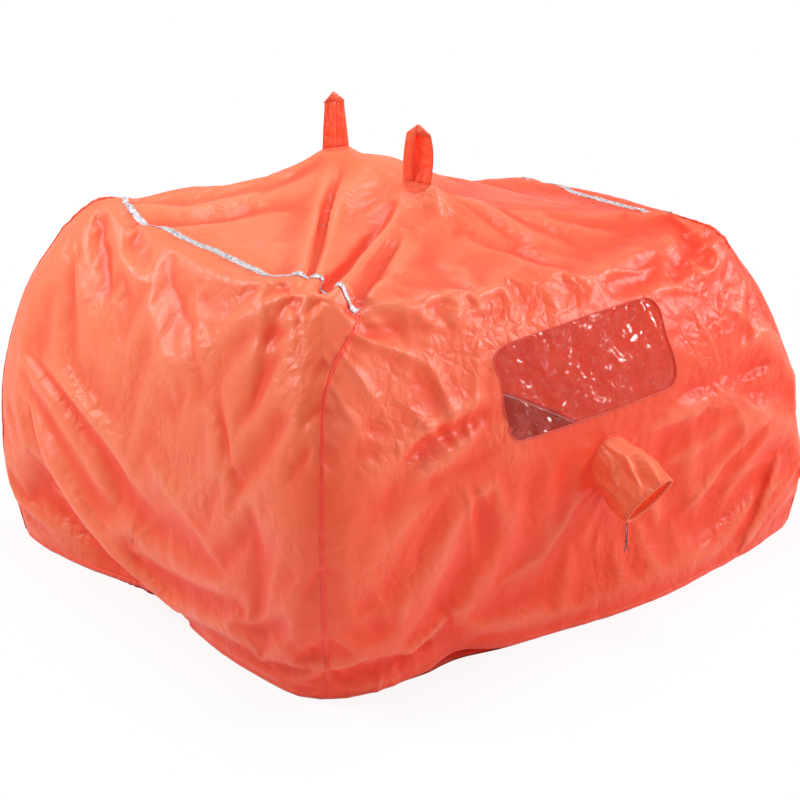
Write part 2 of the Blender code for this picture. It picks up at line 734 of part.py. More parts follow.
def make_cord_ends(start, out, knot_centre, grey, parts):
    """Two strands down from the eyelet to one overhand knot, and the two short tails."""
    gap = CORD_RADIUS + CLEARANCE
    for name, side in (("drawcord_strand_left", -1), ("drawcord_strand_right", 1)):
        shift = Vector((side * gap, 0.0, 0.0))
        top = start + shift
        bottom = knot_centre + Vector((side * gap, 0.0, KNOT_RADIUS + CLEARANCE))
        route = [
            top,
            top + out * 0.005 + Vector((side * 0.0004, 0.0, -0.001)),
            top + out * 0.009 + Vector((side * 0.0016, 0.0, -0.008)),
            top.lerp(bottom, 0.55) + out * 0.004 + Vector((side * 0.0018, 0.0, 0.0)),
            bottom + Vector((side * 0.0004, 0.0, 0.010)),
            bottom,
        ]
        poly_tube(name, smooth_route(route, 4), CORD_RADIUS, grey, parts)

    bm = bmesh.new()
    bmesh.ops.create_uvsphere(bm, u_segments=14, v_segments=8, radius=KNOT_RADIUS)
    bmesh.ops.transform(bm, matrix=Matrix.Translation(knot_centre), verts=bm.verts)
    mesh = bpy.data.meshes.new("drawcord_knot")
    bm.to_mesh(mesh)
    bm.free()
    add_part("drawcord_knot", mesh, grey, parts)

    for name, side in (("drawcord_tail_left", -1), ("drawcord_tail_right", 1)):
        top = knot_centre + Vector((side * gap, 0.0, -KNOT_RADIUS - CLEARANCE))
        route = [
            top,
            top + Vector((side * 0.0010, 0.0, -CORD_TAIL * 0.35)),
            top + Vector((side * 0.0030, -0.001, -CORD_TAIL * 0.70)),
            top + Vector((side * 0.0052, -0.002, -CORD_TAIL)),
        ]
        poly_tube(name, smooth_route(route, 4), CORD_RADIUS, grey, parts)


def loop_outlines(width, slot_width):
    """A tape folded over to a point. Its two legs meet at the foot, with a slot between."""
    half = width / 2
    shoulder = LOOP_HEIGHT - LOOP_SHOULDER_DROP
    outside = [
        (-half, 0.0),
        (-half * 0.96, shoulder * 0.55),
        (-half * 0.80, shoulder),
        (-LOOP_PEAK_WIDTH / 2, LOOP_HEIGHT - 0.003),
        (0.0, LOOP_HEIGHT),
        (LOOP_PEAK_WIDTH / 2, LOOP_HEIGHT - 0.003),
        (half * 0.76, shoulder - 0.004),
        (half * 0.94, shoulder * 0.50),
        (half, 0.0),
    ]
    middle = (LOOP_FOOT_HEIGHT + LOOP_SLOT_TOP) / 2
    slot = slot_width / 2
    hole = [
        (slot, LOOP_FOOT_HEIGHT),
        (slot * 0.80, middle),
        (slot * 0.25, LOOP_SLOT_TOP),
        (-slot * 0.25, LOOP_SLOT_TOP),
        (-slot * 0.80, middle),
        (-slot, LOOP_FOOT_HEIGHT),
    ]
    return [outside, hole]


def height_under(part, spots):
    """The highest place of a finished part straight below some spots."""
    shown = part.evaluated_get(bpy.context.evaluated_depsgraph_get())
    heights = []
    for spot in spots:
        start = Vector((spot.x, spot.y, 2 * RIDGE_HEIGHT))
        hit, place, *_ = shown.ray_cast(start, Vector((0.0, 0.0, -1.0)))
        if hit:
            heights.append(place.z)
    return max(heights)


def make_loops(parts, cutters):
    """Two loops of folded tape, each on a round patch at one end of the ridge."""
    hangers = (
        ("near_loop", -1, NEAR_LOOP_TURN, NEAR_LOOP_SPREAD),
        ("far_loop", 1, FAR_LOOP_TURN, 0.0),
    )
    for name, side, turn, spread in hangers:
        spot = canopy_point(0.0, side * RIDGE_SHARE)
        sheet = grid_mesh(name + "_patch", place_on_body, BODY_COLUMNS, BODY_ROWS,
                          lift=2 * CLEARANCE)
        bm = bmesh.new()
        bm.from_mesh(sheet)
        far = [face for face in bm.faces
               if (face.calc_center_median() - spot).length > 0.16]
        bmesh.ops.delete(bm, geom=far, context="FACES")
        bm.to_mesh(sheet)
        bm.free()
        finish = make_material(name + "_patch", TAPE_ORANGE, 0.5)
        patch = add_part(name + "_patch", sheet, finish, parts)
        add_modifier(patch, "SOLIDIFY", thickness=PATCH_THICK, offset=1.0, use_even_offset=True)
        disc = cylinder_mesh(name + "_patch_outline", PATCH_RADIUS, 0.30, 28)
        boolean(patch, add_cutter(name + "_patch_outline", disc, cutters,
                                  Matrix.Translation(spot)), "INTERSECT")

        turned = Matrix.Translation(spot) @ Matrix.Rotation(turn, 4, "Z")
        half = (LOOP_WIDTH + spread) / 2
        under = [turned @ Vector((half * step / 10, depth * LOOP_THICK, 0.0))
                 for step in range(-10, 11) for depth in (-1, 0, 1)]
        rest = height_under(patch, under)
        foot = Vector((spot.x, spot.y, rest + LOOP_GAP + LOOP_THICK / 2))
        pivot = bpy.data.objects.new(name + "_hinge", None)
        parts.objects.link(pivot)
        pivot.matrix_world = Matrix.Translation(foot) @ Matrix.Rotation(turn, 4, "Z")
        slot_width = LOOP_SLOT_WIDTH + spread * 0.4
        flat = outline_mesh(name, loop_outlines(LOOP_WIDTH + spread, slot_width), LOOP_THICK / 2)
        flat.transform(Matrix.Translation((0, 0, -LOOP_THICK / 2)) @ Matrix.Rotation(
            math.radians(90), 4, "X"))
        loop = add_part(name, flat, make_material(name, CLOTH_ORANGE, 0.5), parts)
        loop.parent = pivot
        add_modifier(loop, "BEVEL", width=LOOP_THICK * 0.42, segments=2,
                     limit_method="ANGLE", angle_limit=math.radians(50))


def rounded_rectangle(low_x, low_y, high_x, high_y, radii):
    """Corner points of a rectangle, each corner rounded by its own radius, anticlockwise."""
    points = []
    corners = (
        (low_x, low_y, 180, radii[0]),
        (high_x, low_y, 270, radii[1]),
        (high_x, high_y, 0, radii[2]),
        (low_x, high_y, 90, radii[3]),
    )
    for x, y, start, radius in corners:
        centre_x = x + radius if x == low_x else x - radius
        centre_y = y + radius if y == low_y else y - radius
        if radius == 0:
            points.append((x, y))
            continue
        for step in range(6):
            turn = math.radians(start + 90 * step / 5)
            points.append((centre_x + radius * math.cos(turn), centre_y + radius * math.sin(turn)))
    return points


def seat_line():
    """How far from the middle the seats' hinge lines lie."""
    inner_hem = CANOPY_WIDTH / 2 - WALL_OUTLINES["hem"][1] - (HEM_TAPE_THICK + CLOTH) / 2
    return inner_hem - SEAT_EDGE_GAP


def make_seats(parts):
    """A seat along each long hem, hinged at a strip that joins it to the hem."""
    line = seat_line()
    half = SEAT_LENGTH / 2
    for side, turn in (("front", 0.0), ("rear", math.pi)):
        pivot = bpy.data.objects.new(side + "_seat_hinge", None)
        parts.objects.link(pivot)
        spin = Matrix.Rotation(turn, 4, "Z")
        pivot.matrix_world = spin @ Matrix.Translation((0.0, -line, SEAT_THICK))

        radii = (0, 0, SEAT_CORNER, SEAT_CORNER)
        inner = SEAT_TAPE_WIDTH + CLEARANCE
        flat = outline_mesh(
            side + "_seat",
            [rounded_rectangle(-half + inner, 0.0, half - inner, SEAT_DEPTH - inner, radii)],
            SEAT_THICK / 2)
        flat.transform(Matrix.Translation((0, 0, -SEAT_THICK / 2)))
        finish = make_material(side + "_seat", SEAT_ORANGE, 0.7)
        add_part(side + "_seat", flat, finish, parts).parent = pivot

        tape_radius = SEAT_CORNER + inner
        outer = rounded_rectangle(-half, 0.0, half, SEAT_DEPTH, (0, 0, tape_radius, tape_radius))
        in_edge = SEAT_TAPE_WIDTH
        inside = rounded_rectangle(-half + in_edge, 0.0, half - in_edge, SEAT_DEPTH - in_edge,
                                   (0, 0, tape_radius - in_edge, tape_radius - in_edge))
        band = outer[1:] + outer[:1] + inside[:1] + list(reversed(inside[1:]))
        tape = outline_mesh(side + "_seat_tape", [band], SEAT_TAPE_THICK / 2)
        tape.transform(Matrix.Translation((0, 0, SEAT_TAPE_THICK / 2 - SEAT_THICK)))
        finish = make_material(side + "_seat_tape", TAPE_ORANGE, 0.6)
        add_part(side + "_seat_tape", tape, finish, parts).parent = pivot

        gusset = outline_mesh(side + "_seat_gusset", [gusset_outline(line, turn)], GUSSET_THICK / 2)
        gusset.transform(Matrix.Translation((0, 0, GUSSET_THICK / 2)))
        finish = make_material(side + "_seat_gusset", SEAT_ORANGE, 0.7)
        add_part(side + "_seat_gusset", gusset, finish, parts)


def gusset_outline(line, turn):
    """From the straight hinge line out to the foot of the hem tape, station by station."""
    sign = -1.0 if turn == 0.0 else 1.0
    half = SEAT_LENGTH / 2
    inset = (HEM_TAPE_THICK + CLOTH) / 2 + CLEARANCE
    spots = []
    for station in range(HEM_STATIONS + 1):
        a = PANEL_FOOT * (1.0 - HEM_TAPE_END_SHARE) * (2.0 * station / HEM_STATIONS - 1.0)
        b = sign * PANEL_FOOT
        spot = canopy_point(a, b) - canopy_normal(a, b) * inset
        spots.append((spot.x, spot.y))
    points = []
    for (x, y), (next_x, next_y) in zip(spots, spots[1:]):
        for end in (-half, half):
            if x < end < next_x:
                points.append((end, y + (next_y - y) * (end - x) / (next_x - x)))
        if abs(next_x) < half:
            points.append((next_x, next_y))
    first = (-half, sign * (line + CLEARANCE))
    last = (half, sign * (line + CLEARANCE))
    return points + [last, first]


def centre_on_floor(parts):
    """Moves the whole shelter so that the middle of its box, cord left out, is over the origin."""
    bpy.context.view_layer.update()
    depsgraph = bpy.context.evaluated_depsgraph_get()
    spots = []
    for part in parts.objects:
        if part.type == "EMPTY" or part.name.startswith("drawcord"):
            continue
        shown = part.evaluated_get(depsgraph)
        mesh = shown.to_mesh()
        spots += [part.matrix_world @ vertex.co for vertex in mesh.vertices]
        shown.to_mesh_clear()
    middle_x = (min(spot.x for spot in spots) + max(spot.x for spot in spots)) / 2
    middle_y = (min(spot.y for spot in spots) + max(spot.y for spot in spots)) / 2
    return Vector((-middle_x, -middle_y, 0.0))


def main():
    remove_everything()
    parts = new_collection("group_shelter")
    cutters = new_collection("cutters")
    body = make_body_and_ends(parts)
    make_corner_tapes(parts)
    make_roof_strips(parts)
    make_hem_tapes(parts)
    make_window(body, parts, cutters)
    sleeve_frame, hinge_empty, sleeve = make_vent(body, parts, cutters)
    cord = make_drawcord(sleeve_frame, hinge_empty, sleeve, parts, cutters)
    make_cord_ends(*cord, parts)
    make_loops(parts, cutters)
    make_seats(parts)
    shift = centre_on_floor(parts)
    for item in list(parts.objects) + list(cutters.objects):
        if item.parent is None:
            item.location += shift
    bpy.context.view_layer.update()


main()
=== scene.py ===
# %% [markdown]
# A group shelter is a bag of thin coated nylon, open below and without poles. This file makes
# its looks around a fixed model of its parts. Loading that model first means that every piece
# below can be placed by the same measurements, in metres.

# %% Load the fixed model
import math

import bmesh
import bpy
import numpy as np
from mathutils import Matrix, Vector


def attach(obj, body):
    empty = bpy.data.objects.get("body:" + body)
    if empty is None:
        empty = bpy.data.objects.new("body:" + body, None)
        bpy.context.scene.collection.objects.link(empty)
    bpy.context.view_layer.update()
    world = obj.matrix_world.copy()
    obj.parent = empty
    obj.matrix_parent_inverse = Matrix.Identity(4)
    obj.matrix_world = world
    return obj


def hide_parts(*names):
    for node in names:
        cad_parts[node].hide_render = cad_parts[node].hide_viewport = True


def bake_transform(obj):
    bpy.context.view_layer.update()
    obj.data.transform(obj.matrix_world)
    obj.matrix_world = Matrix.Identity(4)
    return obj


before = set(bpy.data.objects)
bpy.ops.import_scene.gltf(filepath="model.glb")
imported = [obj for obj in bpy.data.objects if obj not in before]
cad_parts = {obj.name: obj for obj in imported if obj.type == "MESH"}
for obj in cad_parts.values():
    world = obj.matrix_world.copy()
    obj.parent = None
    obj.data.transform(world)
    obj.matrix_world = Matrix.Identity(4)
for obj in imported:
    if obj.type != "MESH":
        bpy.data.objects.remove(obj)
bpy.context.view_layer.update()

# %% [markdown]
# The camera stands about five metres off, front left and a little above, with a long lens, so
# that perspective doesn't swell the near corner. It comes first because the cord is checked
# against what the camera sees.

# %% Stand the camera
camera = bpy.data.objects.new("studio_camera", bpy.data.cameras.new("studio_camera"))
camera.data.sensor_width = 36.0
camera.data.lens = 99.0
camera.location = (-3.316884, -3.84768, 2.459)
camera.rotation_euler = (math.radians(67.664), 0.0, math.radians(-39.821))
bpy.context.scene.collection.objects.link(camera)
bpy.context.scene.camera = camera
print("camera:", [round(x, 2) for x in camera.location])

# %% [markdown]
# Three small helpers are used all the way through. The first turns a colour written as sRGB
# hex into the linear numbers that a shader wants. The second adds one shader node, sets it up
# and wires it, so that a finish reads as a list of what it is made of. The third puts a
# finished mesh into the scene as a piece.

# %% Colour, node and piece helpers
def linear(hex_colour):
    """An sRGB hex colour as linear RGBA."""
    values = [int(hex_colour[i:i + 2], 16) / 255 for i in (1, 3, 5)]
    return tuple(v / 12.92 if v <= 0.04045 else ((v + 0.055) / 1.055) ** 2.4 for v in values) + (1.0,)


def add_node(tree, kind, settings=None, **inputs):
    """One node; ShaderNode is put before a shader node's kind. An input is a number, a colour,
    another node's output socket, or another node for its first output."""
    plain_kind = not kind.startswith(("Geometry", "Function", "NodeGroup"))
    node = tree.nodes.new("ShaderNode" + kind if plain_kind else kind)
    for name, value in (settings or {}).items():
        setattr(node, name, value)
    for name, value in inputs.items():
        key = int(name[1:]) if name[0] == "i" and name[1:].isdigit() else name.replace("_", " ")
        socket = node.inputs[key]
        if isinstance(value, bpy.types.Node):
            value = value.outputs[0]
        if isinstance(value, bpy.types.NodeSocket):
            tree.links.new(value, socket)
        else:
            socket.default_value = value
    return node


def add_piece(name, vertices, faces, material, smooth=True):
    """A mesh as an object at the origin, with its place in its vertices."""
    mesh = bpy.data.meshes.new(name)
    mesh.from_pydata([tuple(map(float, v)) for v in vertices], [], [tuple(map(int, f)) for f in faces])
    mesh.polygons.foreach_set("use_smooth", [smooth] * len(mesh.polygons))
    mesh.materials.append(material)
    piece = bpy.data.objects.new(name, mesh)
    bpy.context.scene.collection.objects.link(piece)
    return piece


print("sample colour:", [round(v, 3) for v in linear("#F4573C")])

# %% [markdown]
# Every finish starts from an empty material, and most of them combine numbers, mix colours or
# draw a relief by shading. Four more helpers take up what would repeat. A relief by shading
# costs no faces, so it suits what is finer than a few millimetres; the real folds are moved
# corners of the mesh.

# %% Helpers that the finishes share
def new_finish(name):
    """An empty material, its node tree, and the place on the piece in metres."""
    material = bpy.data.materials.new(name)
    material.use_nodes = True
    tree = material.node_tree
    tree.nodes.clear()
    return material, tree, add_node(tree, "TexCoord").outputs["Object"]


def add_math(tree, operation, *values):
    """A sum, a product or the like of numbers and sockets."""
    inputs = {f"i{number}": value for number, value in enumerate(values)}
    return add_node(tree, "Math", {"operation": operation}, **inputs)


def add_tint(tree, share, first, second):
    """Two colours, mixed by a share."""
    return add_node(tree, "Mix", {"data_type": "RGBA"}, i0=share, i6=first, i7=second).outputs[2]


def add_bump(tree, height, strength, distance, **below):
    """A relief by shading, laid over the relief below it."""
    return add_node(tree, "Bump", Height=height, Strength=strength, Distance=distance, **below)


print("helpers of the finishes:", [made.__name__ for made in (new_finish, add_math, add_tint, add_bump)])

# %% [markdown]
# The canopy's form comes from eleven outlines, from the hem on the floor up to the ridge.
# Each is a rounded rectangle with its own size, height and squareness, and a smooth curve
# runs through all of them. Each corner bulges in its own way, and the hem strays a little on
# the floor. The numbers are those of the fixed model, so that the cloth lies on it.

# %% Outlines of the canopy
WALL_OUTLINES = (
    # height, how far inside the widest outline, squareness, drift to the right
    (0.000, 0.038, 10.0, 0.000), (0.120, 0.018, 11.0, 0.000), (0.260, 0.002, 12.0, 0.000),
    (0.430, 0.000, 12.0, 0.000), (0.600, 0.034, 11.0, -0.003), (0.735, 0.098, 9.0, -0.012),
    (0.815, 0.172, 7.5, -0.030), (0.848, 0.262, 5.5, -0.045))
ROOF_OUTLINES = (
    # share of the way in to the ridge, share of the way up to it, squareness
    (0.28, 0.18, 4.0), (0.60, 0.48, 3.2), (1.00, 1.00, 3.0))
CORNER_BULGES = (
    # side in x and in y, metres outwards at the hem, the belly and the roof, metres upwards
    (-1, -1, -0.012, 0.000, 0.020, 0.015), (-1, 1, 0.052, 0.015, 0.015, 0.008),
    (1, -1, 0.022, -0.045, 0.000, 0.040), (1, 1, 0.000, 0.000, -0.030, -0.052))
HEM_SWAYS = (
    # side in x and in y, middle and spread along that side, metres outwards
    (0, -1, 0.22, 0.52, 0.078), (-1, 0, 0.05, 0.28, -0.032))
HALF_LENGTH, HALF_WIDTH = 0.825, 0.645
# Height, half length, half width, no squareness of its own, drift
RIDGE = (0.970, 0.012, 0.155, 0.0, -0.130)
RIDGE_SHARE = 0.0625
SEAM_SHARE = 0.375
CENTRING = np.array((0.004592, 0.069127, 0.0))


def outline_table():
    """Height, half length, half width, squareness and drift of each outline, hem to ridge."""
    rows = [(h, HALF_LENGTH - inset, HALF_WIDTH - inset, square, drift)
            for h, inset, square, drift in WALL_OUTLINES]
    crown = rows[-1]
    for share, rise, square in ROOF_OUTLINES:
        row = [low + (high - low) * share for low, high in zip(crown, RIDGE)]
        row[0] = crown[0] + (RIDGE[0] - crown[0]) * rise
        row[3] = square
        rows.append(tuple(row))
    return np.array(rows)


OUTLINES = outline_table()
print("outlines from hem to ridge:", len(OUTLINES))

# %% [markdown]
# Two things keep the canopy from being a plain rounded box. Its corners bulge, each by its own
# measure, and two stretches of the hem bow out or in on the floor. Both fade smoothly with
# the height and along the wall, because cloth has no steps.

# %% Bulging corners and a hem that strays
def smooth_step(start, end, value):
    """0 before the start, 1 after the end, and an even curve between them."""
    t = np.clip((value - start) / (end - start), 0.0, 1.0)
    return t * t * (3.0 - 2.0 * t)


def corner_bulge(p, q, level):
    """How far the corners stand out, in the directions p and q, from hem (0) to ridge (1)."""
    below_belly = 1.0 - smooth_step(0.0, 0.40, level)
    below_shoulder = 1.0 - smooth_step(0.40, 0.62, level)
    below_ridge = 1.0 - smooth_step(0.62, 1.0, level)
    shoulder_band = np.exp(-(((level - 0.62) / 0.20) ** 2))
    bulge = 0.0
    for side_x, side_y, hem, belly, roof, rise in CORNER_BULGES:
        near = np.maximum(0.0, p * side_x) ** 3 * np.maximum(0.0, q * side_y) ** 3
        low = hem * below_belly + belly * (1.0 - below_belly)
        reach = low * below_shoulder + roof * (1.0 - below_shoulder) * below_ridge
        bulge = bulge + np.stack([side_x * reach, side_y * reach, rise * shoulder_band], -1) * near[..., None]
    return bulge


def hem_sway(p, q, level):
    """How far the foot of a wall strays from its straight line."""
    near_floor = 1.0 - smooth_step(0.0, 0.20, level)
    sway = 0.0
    for side_x, side_y, middle, spread, reach in HEM_SWAYS:
        facing = np.maximum(0.0, p * side_x + q * side_y) ** 6
        bow = np.exp(-((((q if side_x else p) - middle) / spread) ** 2))
        out = reach * bow * facing * near_floor
        sway = sway + np.stack([side_x * out, side_y * out, 0.0 * out], -1)
    return sway


print("bulging corners:", len(CORNER_BULGES), "stretches of hem that stray:", len(HEM_SWAYS))

# %% [markdown]
# The cloth is laid out as a square: a runs from the left end to the right, b from the front
# to the rear, both from -1 to 1. The square's rim is the hem and its middle is the ridge.
# One function turns a place on the square into a point in the room. It takes whole arrays,
# because the sheet has over a hundred thousand corners.

# %% From the flat layout to the room
SHOULDER_HEIGHT = 0.815
# How much the canopy sinks for each metre to the right, and how much the ridge climbs to the rear
SIDE_FALL, REAR_RISE = 0.105, 0.065


def smooth_between(before, start, end, after, t):
    """A smooth curve from start to end that heeds the stops before and after them."""
    return 0.5 * (2 * start + (end - before) * t + (2 * before - 5 * start + 4 * end - after) * t ** 2
                  + (3 * start - before - 3 * end + after) * t ** 3)


def canopy_at(a, b):
    """Points of the plain canopy for arrays of a and b."""
    a, b = np.broadcast_arrays(np.asarray(a, float), np.asarray(b, float))
    share = np.maximum(np.abs(a), np.abs(b))
    p = np.where(share < 1e-9, 1.0, a / np.maximum(share, 1e-9))
    q = np.where(share < 1e-9, 0.0, b / np.maximum(share, 1e-9))
    level = (1.0 - share) / (1.0 - RIDGE_SHARE)
    last = len(OUTLINES) - 1
    place = np.clip(level, 0.0, 1.0) * last
    low = np.minimum(place.astype(int), last - 1)
    row = smooth_between(OUTLINES[np.maximum(low - 1, 0)], OUTLINES[low], OUTLINES[low + 1],
                         OUTLINES[np.minimum(low + 2, last)], (place - low)[..., None])
    height, half_x, half_y, square, drift = np.moveaxis(row, -1, 0)
    radius = (np.abs(p) ** square + np.abs(q) ** square) ** (-1.0 / square)
    radius = radius * np.minimum(1.0, share / RIDGE_SHARE)
    x = drift + half_x * p * radius
    y = half_y * q * radius
    z = height - SIDE_FALL * x * np.minimum(1.0, height / SHOULDER_HEIGHT) ** 2
    z = z + REAR_RISE * y * smooth_step(0.75, 1.0, level)
    return np.stack([x, y, z], -1) + corner_bulge(p, q, level) + hem_sway(p, q, level) + CENTRING


STEPS = 400
line = np.linspace(-1.0, 1.0, STEPS + 1)
A, B = np.meshgrid(line, line)
plain = canopy_at(A, B)
print("plain canopy:", plain.reshape(-1, 3).min(0).round(3), plain.reshape(-1, 3).max(0).round(3))

# %% [markdown]
# Thin coated cloth that is pulled tight between a few points shows long straight folds.
# Each one is given here as a line on the layout, with its width and height in millimetres,
# read off the real canopy: the strong ones run from the two loops down to the hood of the
# near corner, and the big drape at the left end hangs over a hollow. A ridge stands out, a
# valley goes in, and a pleat steps from one level to another, as cloth does where it laps.

# %% The folds, one line each
FOLDS = (
    # kind, width mm, height mm, stops on the layout in thousandths
    ("valley", 15, 12, ((-80, 45), (-165, -55), (-360, -325), (-495, -430))),
    ("ridge", 15, 10, ((-85, 65), (-175, -45), (-350, -290), (-490, -415))),
    ("ridge", 13, 12, ((-100, 15), (-175, -80), (-360, -335), (-490, -435))),
    ("valley", 15, 14, ((-105, -110), (-210, -210), (-395, -405), (-485, -440))),
    ("ridge", 16, 12, ((-90, -115), (-205, -245), (-370, -410), (-485, -470))),
    ("ridge", 22, 9, ((-90, -160), (-150, -240), (-245, -360), (-360, -450))),
    ("valley", 18, 9, ((-105, -165), (-185, -265), (-325, -415), (-415, -475))),
    ("pleat", 60, 4, ((-430, -275), (-510, -340), (-570, -360), (-635, -375))),
    ("valley", 16, 4, ((-475, 50), (-515, -10), (-555, -110), (-600, -170), (-630, -235), (-660, -325),
                       (-710, -415))),
    ("valley", 12, 3, ((-605, -240), (-635, -285), (-675, -340), (-705, -415))),
    ("ridge", 20, 4, ((-600, -190), (-635, -240), (-680, -300), (-715, -395))),
    ("pleat", 55, -26, ((-735, 525), (-770, 480), (-815, 375), (-875, 215), (-920, 80), (-985, -145))),
    ("ridge", 20, 12, ((-735, 500), (-765, 450), (-810, 345), (-870, 185), (-915, 50), (-975, -175))),
    ("valley", 45, 22, ((-805, 600), (-880, 560), (-950, 400), (-985, 200))),
    ("ridge", 28, 9, ((-680, 550), (-710, 420), (-750, 300), (-800, 120))),
    ("ridge", 26, 8, ((-670, 495), (-695, 305), (-725, 100), (-790, -100))),
    ("valley", 24, 7, ((-675, 530), (-702, 370), (-740, 200), (-800, 0))),
    ("ridge", 18, 5, ((-765, 270), (-815, 90), (-885, -145))),
    ("ridge", 18, 5, ((-710, -5), (-765, -220), (-820, -420))),
    ("valley", 26, 6, ((-485, 290), (-535, 245), (-575, 220))),
    ("ridge", 20, 4, ((-530, 350), (-565, 325), (-595, 295))),
    ("ridge", 14, 3, ((-485, 220), (-510, 155), (-525, 70))),
    ("ridge", 26, 6, ((-535, 65), (-600, -60), (-645, -140))),
    ("valley", 34, 12, ((-710, -445), (-780, -520), (-875, -575), (-970, -630))),
    ("ridge", 12, 4, ((-610, -575), (-645, -630), (-660, -680))),
    ("ridge", 14, 7, ((-375, -465), (-330, -460), (-285, -470), (-235, -460), (-195, -460), (-160, -470),
                      (-110, -460), (-80, -470))),
    ("ridge", 16, 7, ((-185, -470), (-215, -490), (-250, -515))),
    ("valley", 12, 4, ((-110, -460), (-120, -495), (-150, -520))),
    ("ridge", 12, 3, ((-100, -360), (-125, -410), (-145, -450))),
    ("valley", 15, 10, ((-480, -670), (-405, -655), (-320, -645), (-240, -635))),
    ("ridge", 16, 8, ((-480, -655), (-405, -638), (-330, -628), (-240, -615))),
    ("ridge", 15, 6, ((-480, -690), (-360, -670), (-260, -652))),
    ("valley", 15, 5, ((-470, -705), (-370, -692), (-245, -680))),
    ("ridge", 12, 3, ((-440, -770), (-340, -730), (-270, -715))),
    ("ridge", 11, 3, ((-315, -860), (-180, -845), (-95, -800), (-60, -765))),
    ("valley", 26, 7, ((215, -680), (385, -675), (570, -680))),
    ("ridge", 26, 6, ((190, -705), (380, -695), (590, -695))),
    ("valley", 24, 6, ((90, -745), (330, -725), (630, -710))),
    ("ridge", 22, 6, ((190, -775), (405, -745), (650, -745))),
    ("ridge", 26, 7, ((300, -870), (435, -785), (555, -730))),
    ("valley", 24, 6, ((370, -895), (480, -800), (585, -742))),
    ("ridge", 22, 6, ((440, -920), (520, -815), (615, -755))),
    ("pleat", 40, 9, ((610, -995), (635, -920), (670, -820))),
    ("ridge", 15, 8, ((-670, -930), (-580, -920), (-485, -900))),
    ("valley", 14, 8, ((-695, -955), (-625, -940), (-560, -945))),
    ("ridge", 26, 4, ((125, -65), (90, -170), (75, -310))),
    ("ridge", 24, 4, ((145, -185), (180, -265), (230, -350))),
    ("valley", 24, 4, ((-15, -225), (30, -320), (55, -410))),
    ("ridge", 20, 5, ((-385, 310), (-300, 180), (-180, 110))),
    ("valley", 20, 5, ((-400, 230), (-300, 110), (-170, 60))),
)
print("folds drawn by hand:", len(FOLDS))

# %% [markdown]
# A fold lifts the cloth along the cloth's own outward direction. How high depends on the
# distance from the fold's line: highest on the line, nothing a few centimetres away, and dying
# out at both ends. Sculpting by hand would look as good, but here each fold stays a line of
# numbers that can be changed.

# %% How high a fold stands
def outward(points):
    """The outward direction at every corner of a sheet."""
    along, across = np.gradient(points, axis=1), np.gradient(points, axis=0)
    normal = np.cross(along, across)
    return normal / (np.linalg.norm(normal, axis=-1, keepdims=True) + 1e-12)


def line_reach(points, normals, stops):
    """Signed distance from a line of stops, and the share of its length passed."""
    legs = np.linalg.norm(np.diff(stops, axis=0), axis=1)
    passed = np.concatenate([[0.0], np.cumsum(legs)]) / legs.sum()
    best = np.full(len(points), 9.0)
    share, side = np.zeros(len(points)), np.ones(len(points))
    for start, end, low, high in zip(stops, stops[1:], passed, passed[1:]):
        way = end - start
        t = np.clip((points - start) @ way / (way @ way), 0.0, 1.0)
        gap = points - start - t[:, None] * way
        length = np.linalg.norm(gap, axis=1)
        closer = length < best
        best = np.where(closer, length, best)
        share = np.where(closer, low + (high - low) * t, share)
        turn = np.sign(np.einsum("ij,ij->i", gap, np.cross(way, normals)))
        side = np.where(closer, turn, side)
    return best * side, share


def fold_height(kind, distance, share, width, height):
    """How far a fold lifts the cloth: strongest in the middle, narrow and low at its ends."""
    ends = np.clip(np.minimum(share / 0.22, (1.0 - share) / 0.22), 0.0, 1.0) ** 0.7
    near = distance / (width * (0.55 + 0.45 * ends))
    if kind == "pleat":
        return height * ends * np.tanh(near * 4.0) * np.exp(-np.abs(near) * 1.1)
    shape = np.exp(-np.abs(near) * 1.2) if kind.startswith("sharp") else 1.0 / np.cosh(near * 1.3)
    return height * ends * shape * (1.0 if kind.endswith("ridge") else -1.0)


print("a 10 mm ridge, 5 mm beside its line, mm:", round(float(fold_height("ridge", 5.0, 0.5, 10.0, 10.0)), 1))

# %% [markdown]
# All folds of a table are measured on the sheet as it is and put in together, so their order
# doesn't matter. Only the corners in a box round each line are looked at, which keeps fifty
# folds quick on a sheet of 160 000 corners.

# %% Put a table of folds into a sheet
def place_on(grid, a, b):
    """Places on a sheet between its corners, for arrays of a and b."""
    u = np.clip((np.asarray(a, float) + 1) / 2 * STEPS, 0, STEPS - 1e-6)
    v = np.clip((np.asarray(b, float) + 1) / 2 * STEPS, 0, STEPS - 1e-6)
    i, j = u.astype(int), v.astype(int)
    s, t = (u - i)[..., None], (v - j)[..., None]
    low = grid[j, i] * (1 - s) + grid[j, i + 1] * s
    high = grid[j + 1, i] * (1 - s) + grid[j + 1, i + 1] * s
    return low * (1 - t) + high * t


def folded(points, folds, strength=1.0):
    """The sheet with every fold of a table in it."""
    normals = outward(points)
    flat, flat_normals = points.reshape(-1, 3), normals.reshape(-1, 3)
    lift = np.zeros(len(flat))
    for kind, width, height, stops in folds:
        stops = place_on(points, *(np.array(stops).T / 1000))
        reach = 0.006 * width
        near = np.all((flat > stops.min(0) - reach) & (flat < stops.max(0) + reach), axis=1)
        distance, share = line_reach(flat[near], flat_normals[near], stops)
        lift[near] += fold_height(kind, distance, share, width / 1000, height / 1000)
    return points + normals * (strength * lift.reshape(points.shape[:2]))[..., None]


print("middle of the plain canopy:", place_on(plain, 0.0, 0.0).round(3))

# %% [markdown]
# Before the folds go in, the plain form gets a few soft changes. The hem is lifted off the
# floor left of the window, and the roof swells between the loops and at two other places.
# They are soft hills, far wider than a fold, so that the folds can run over them.

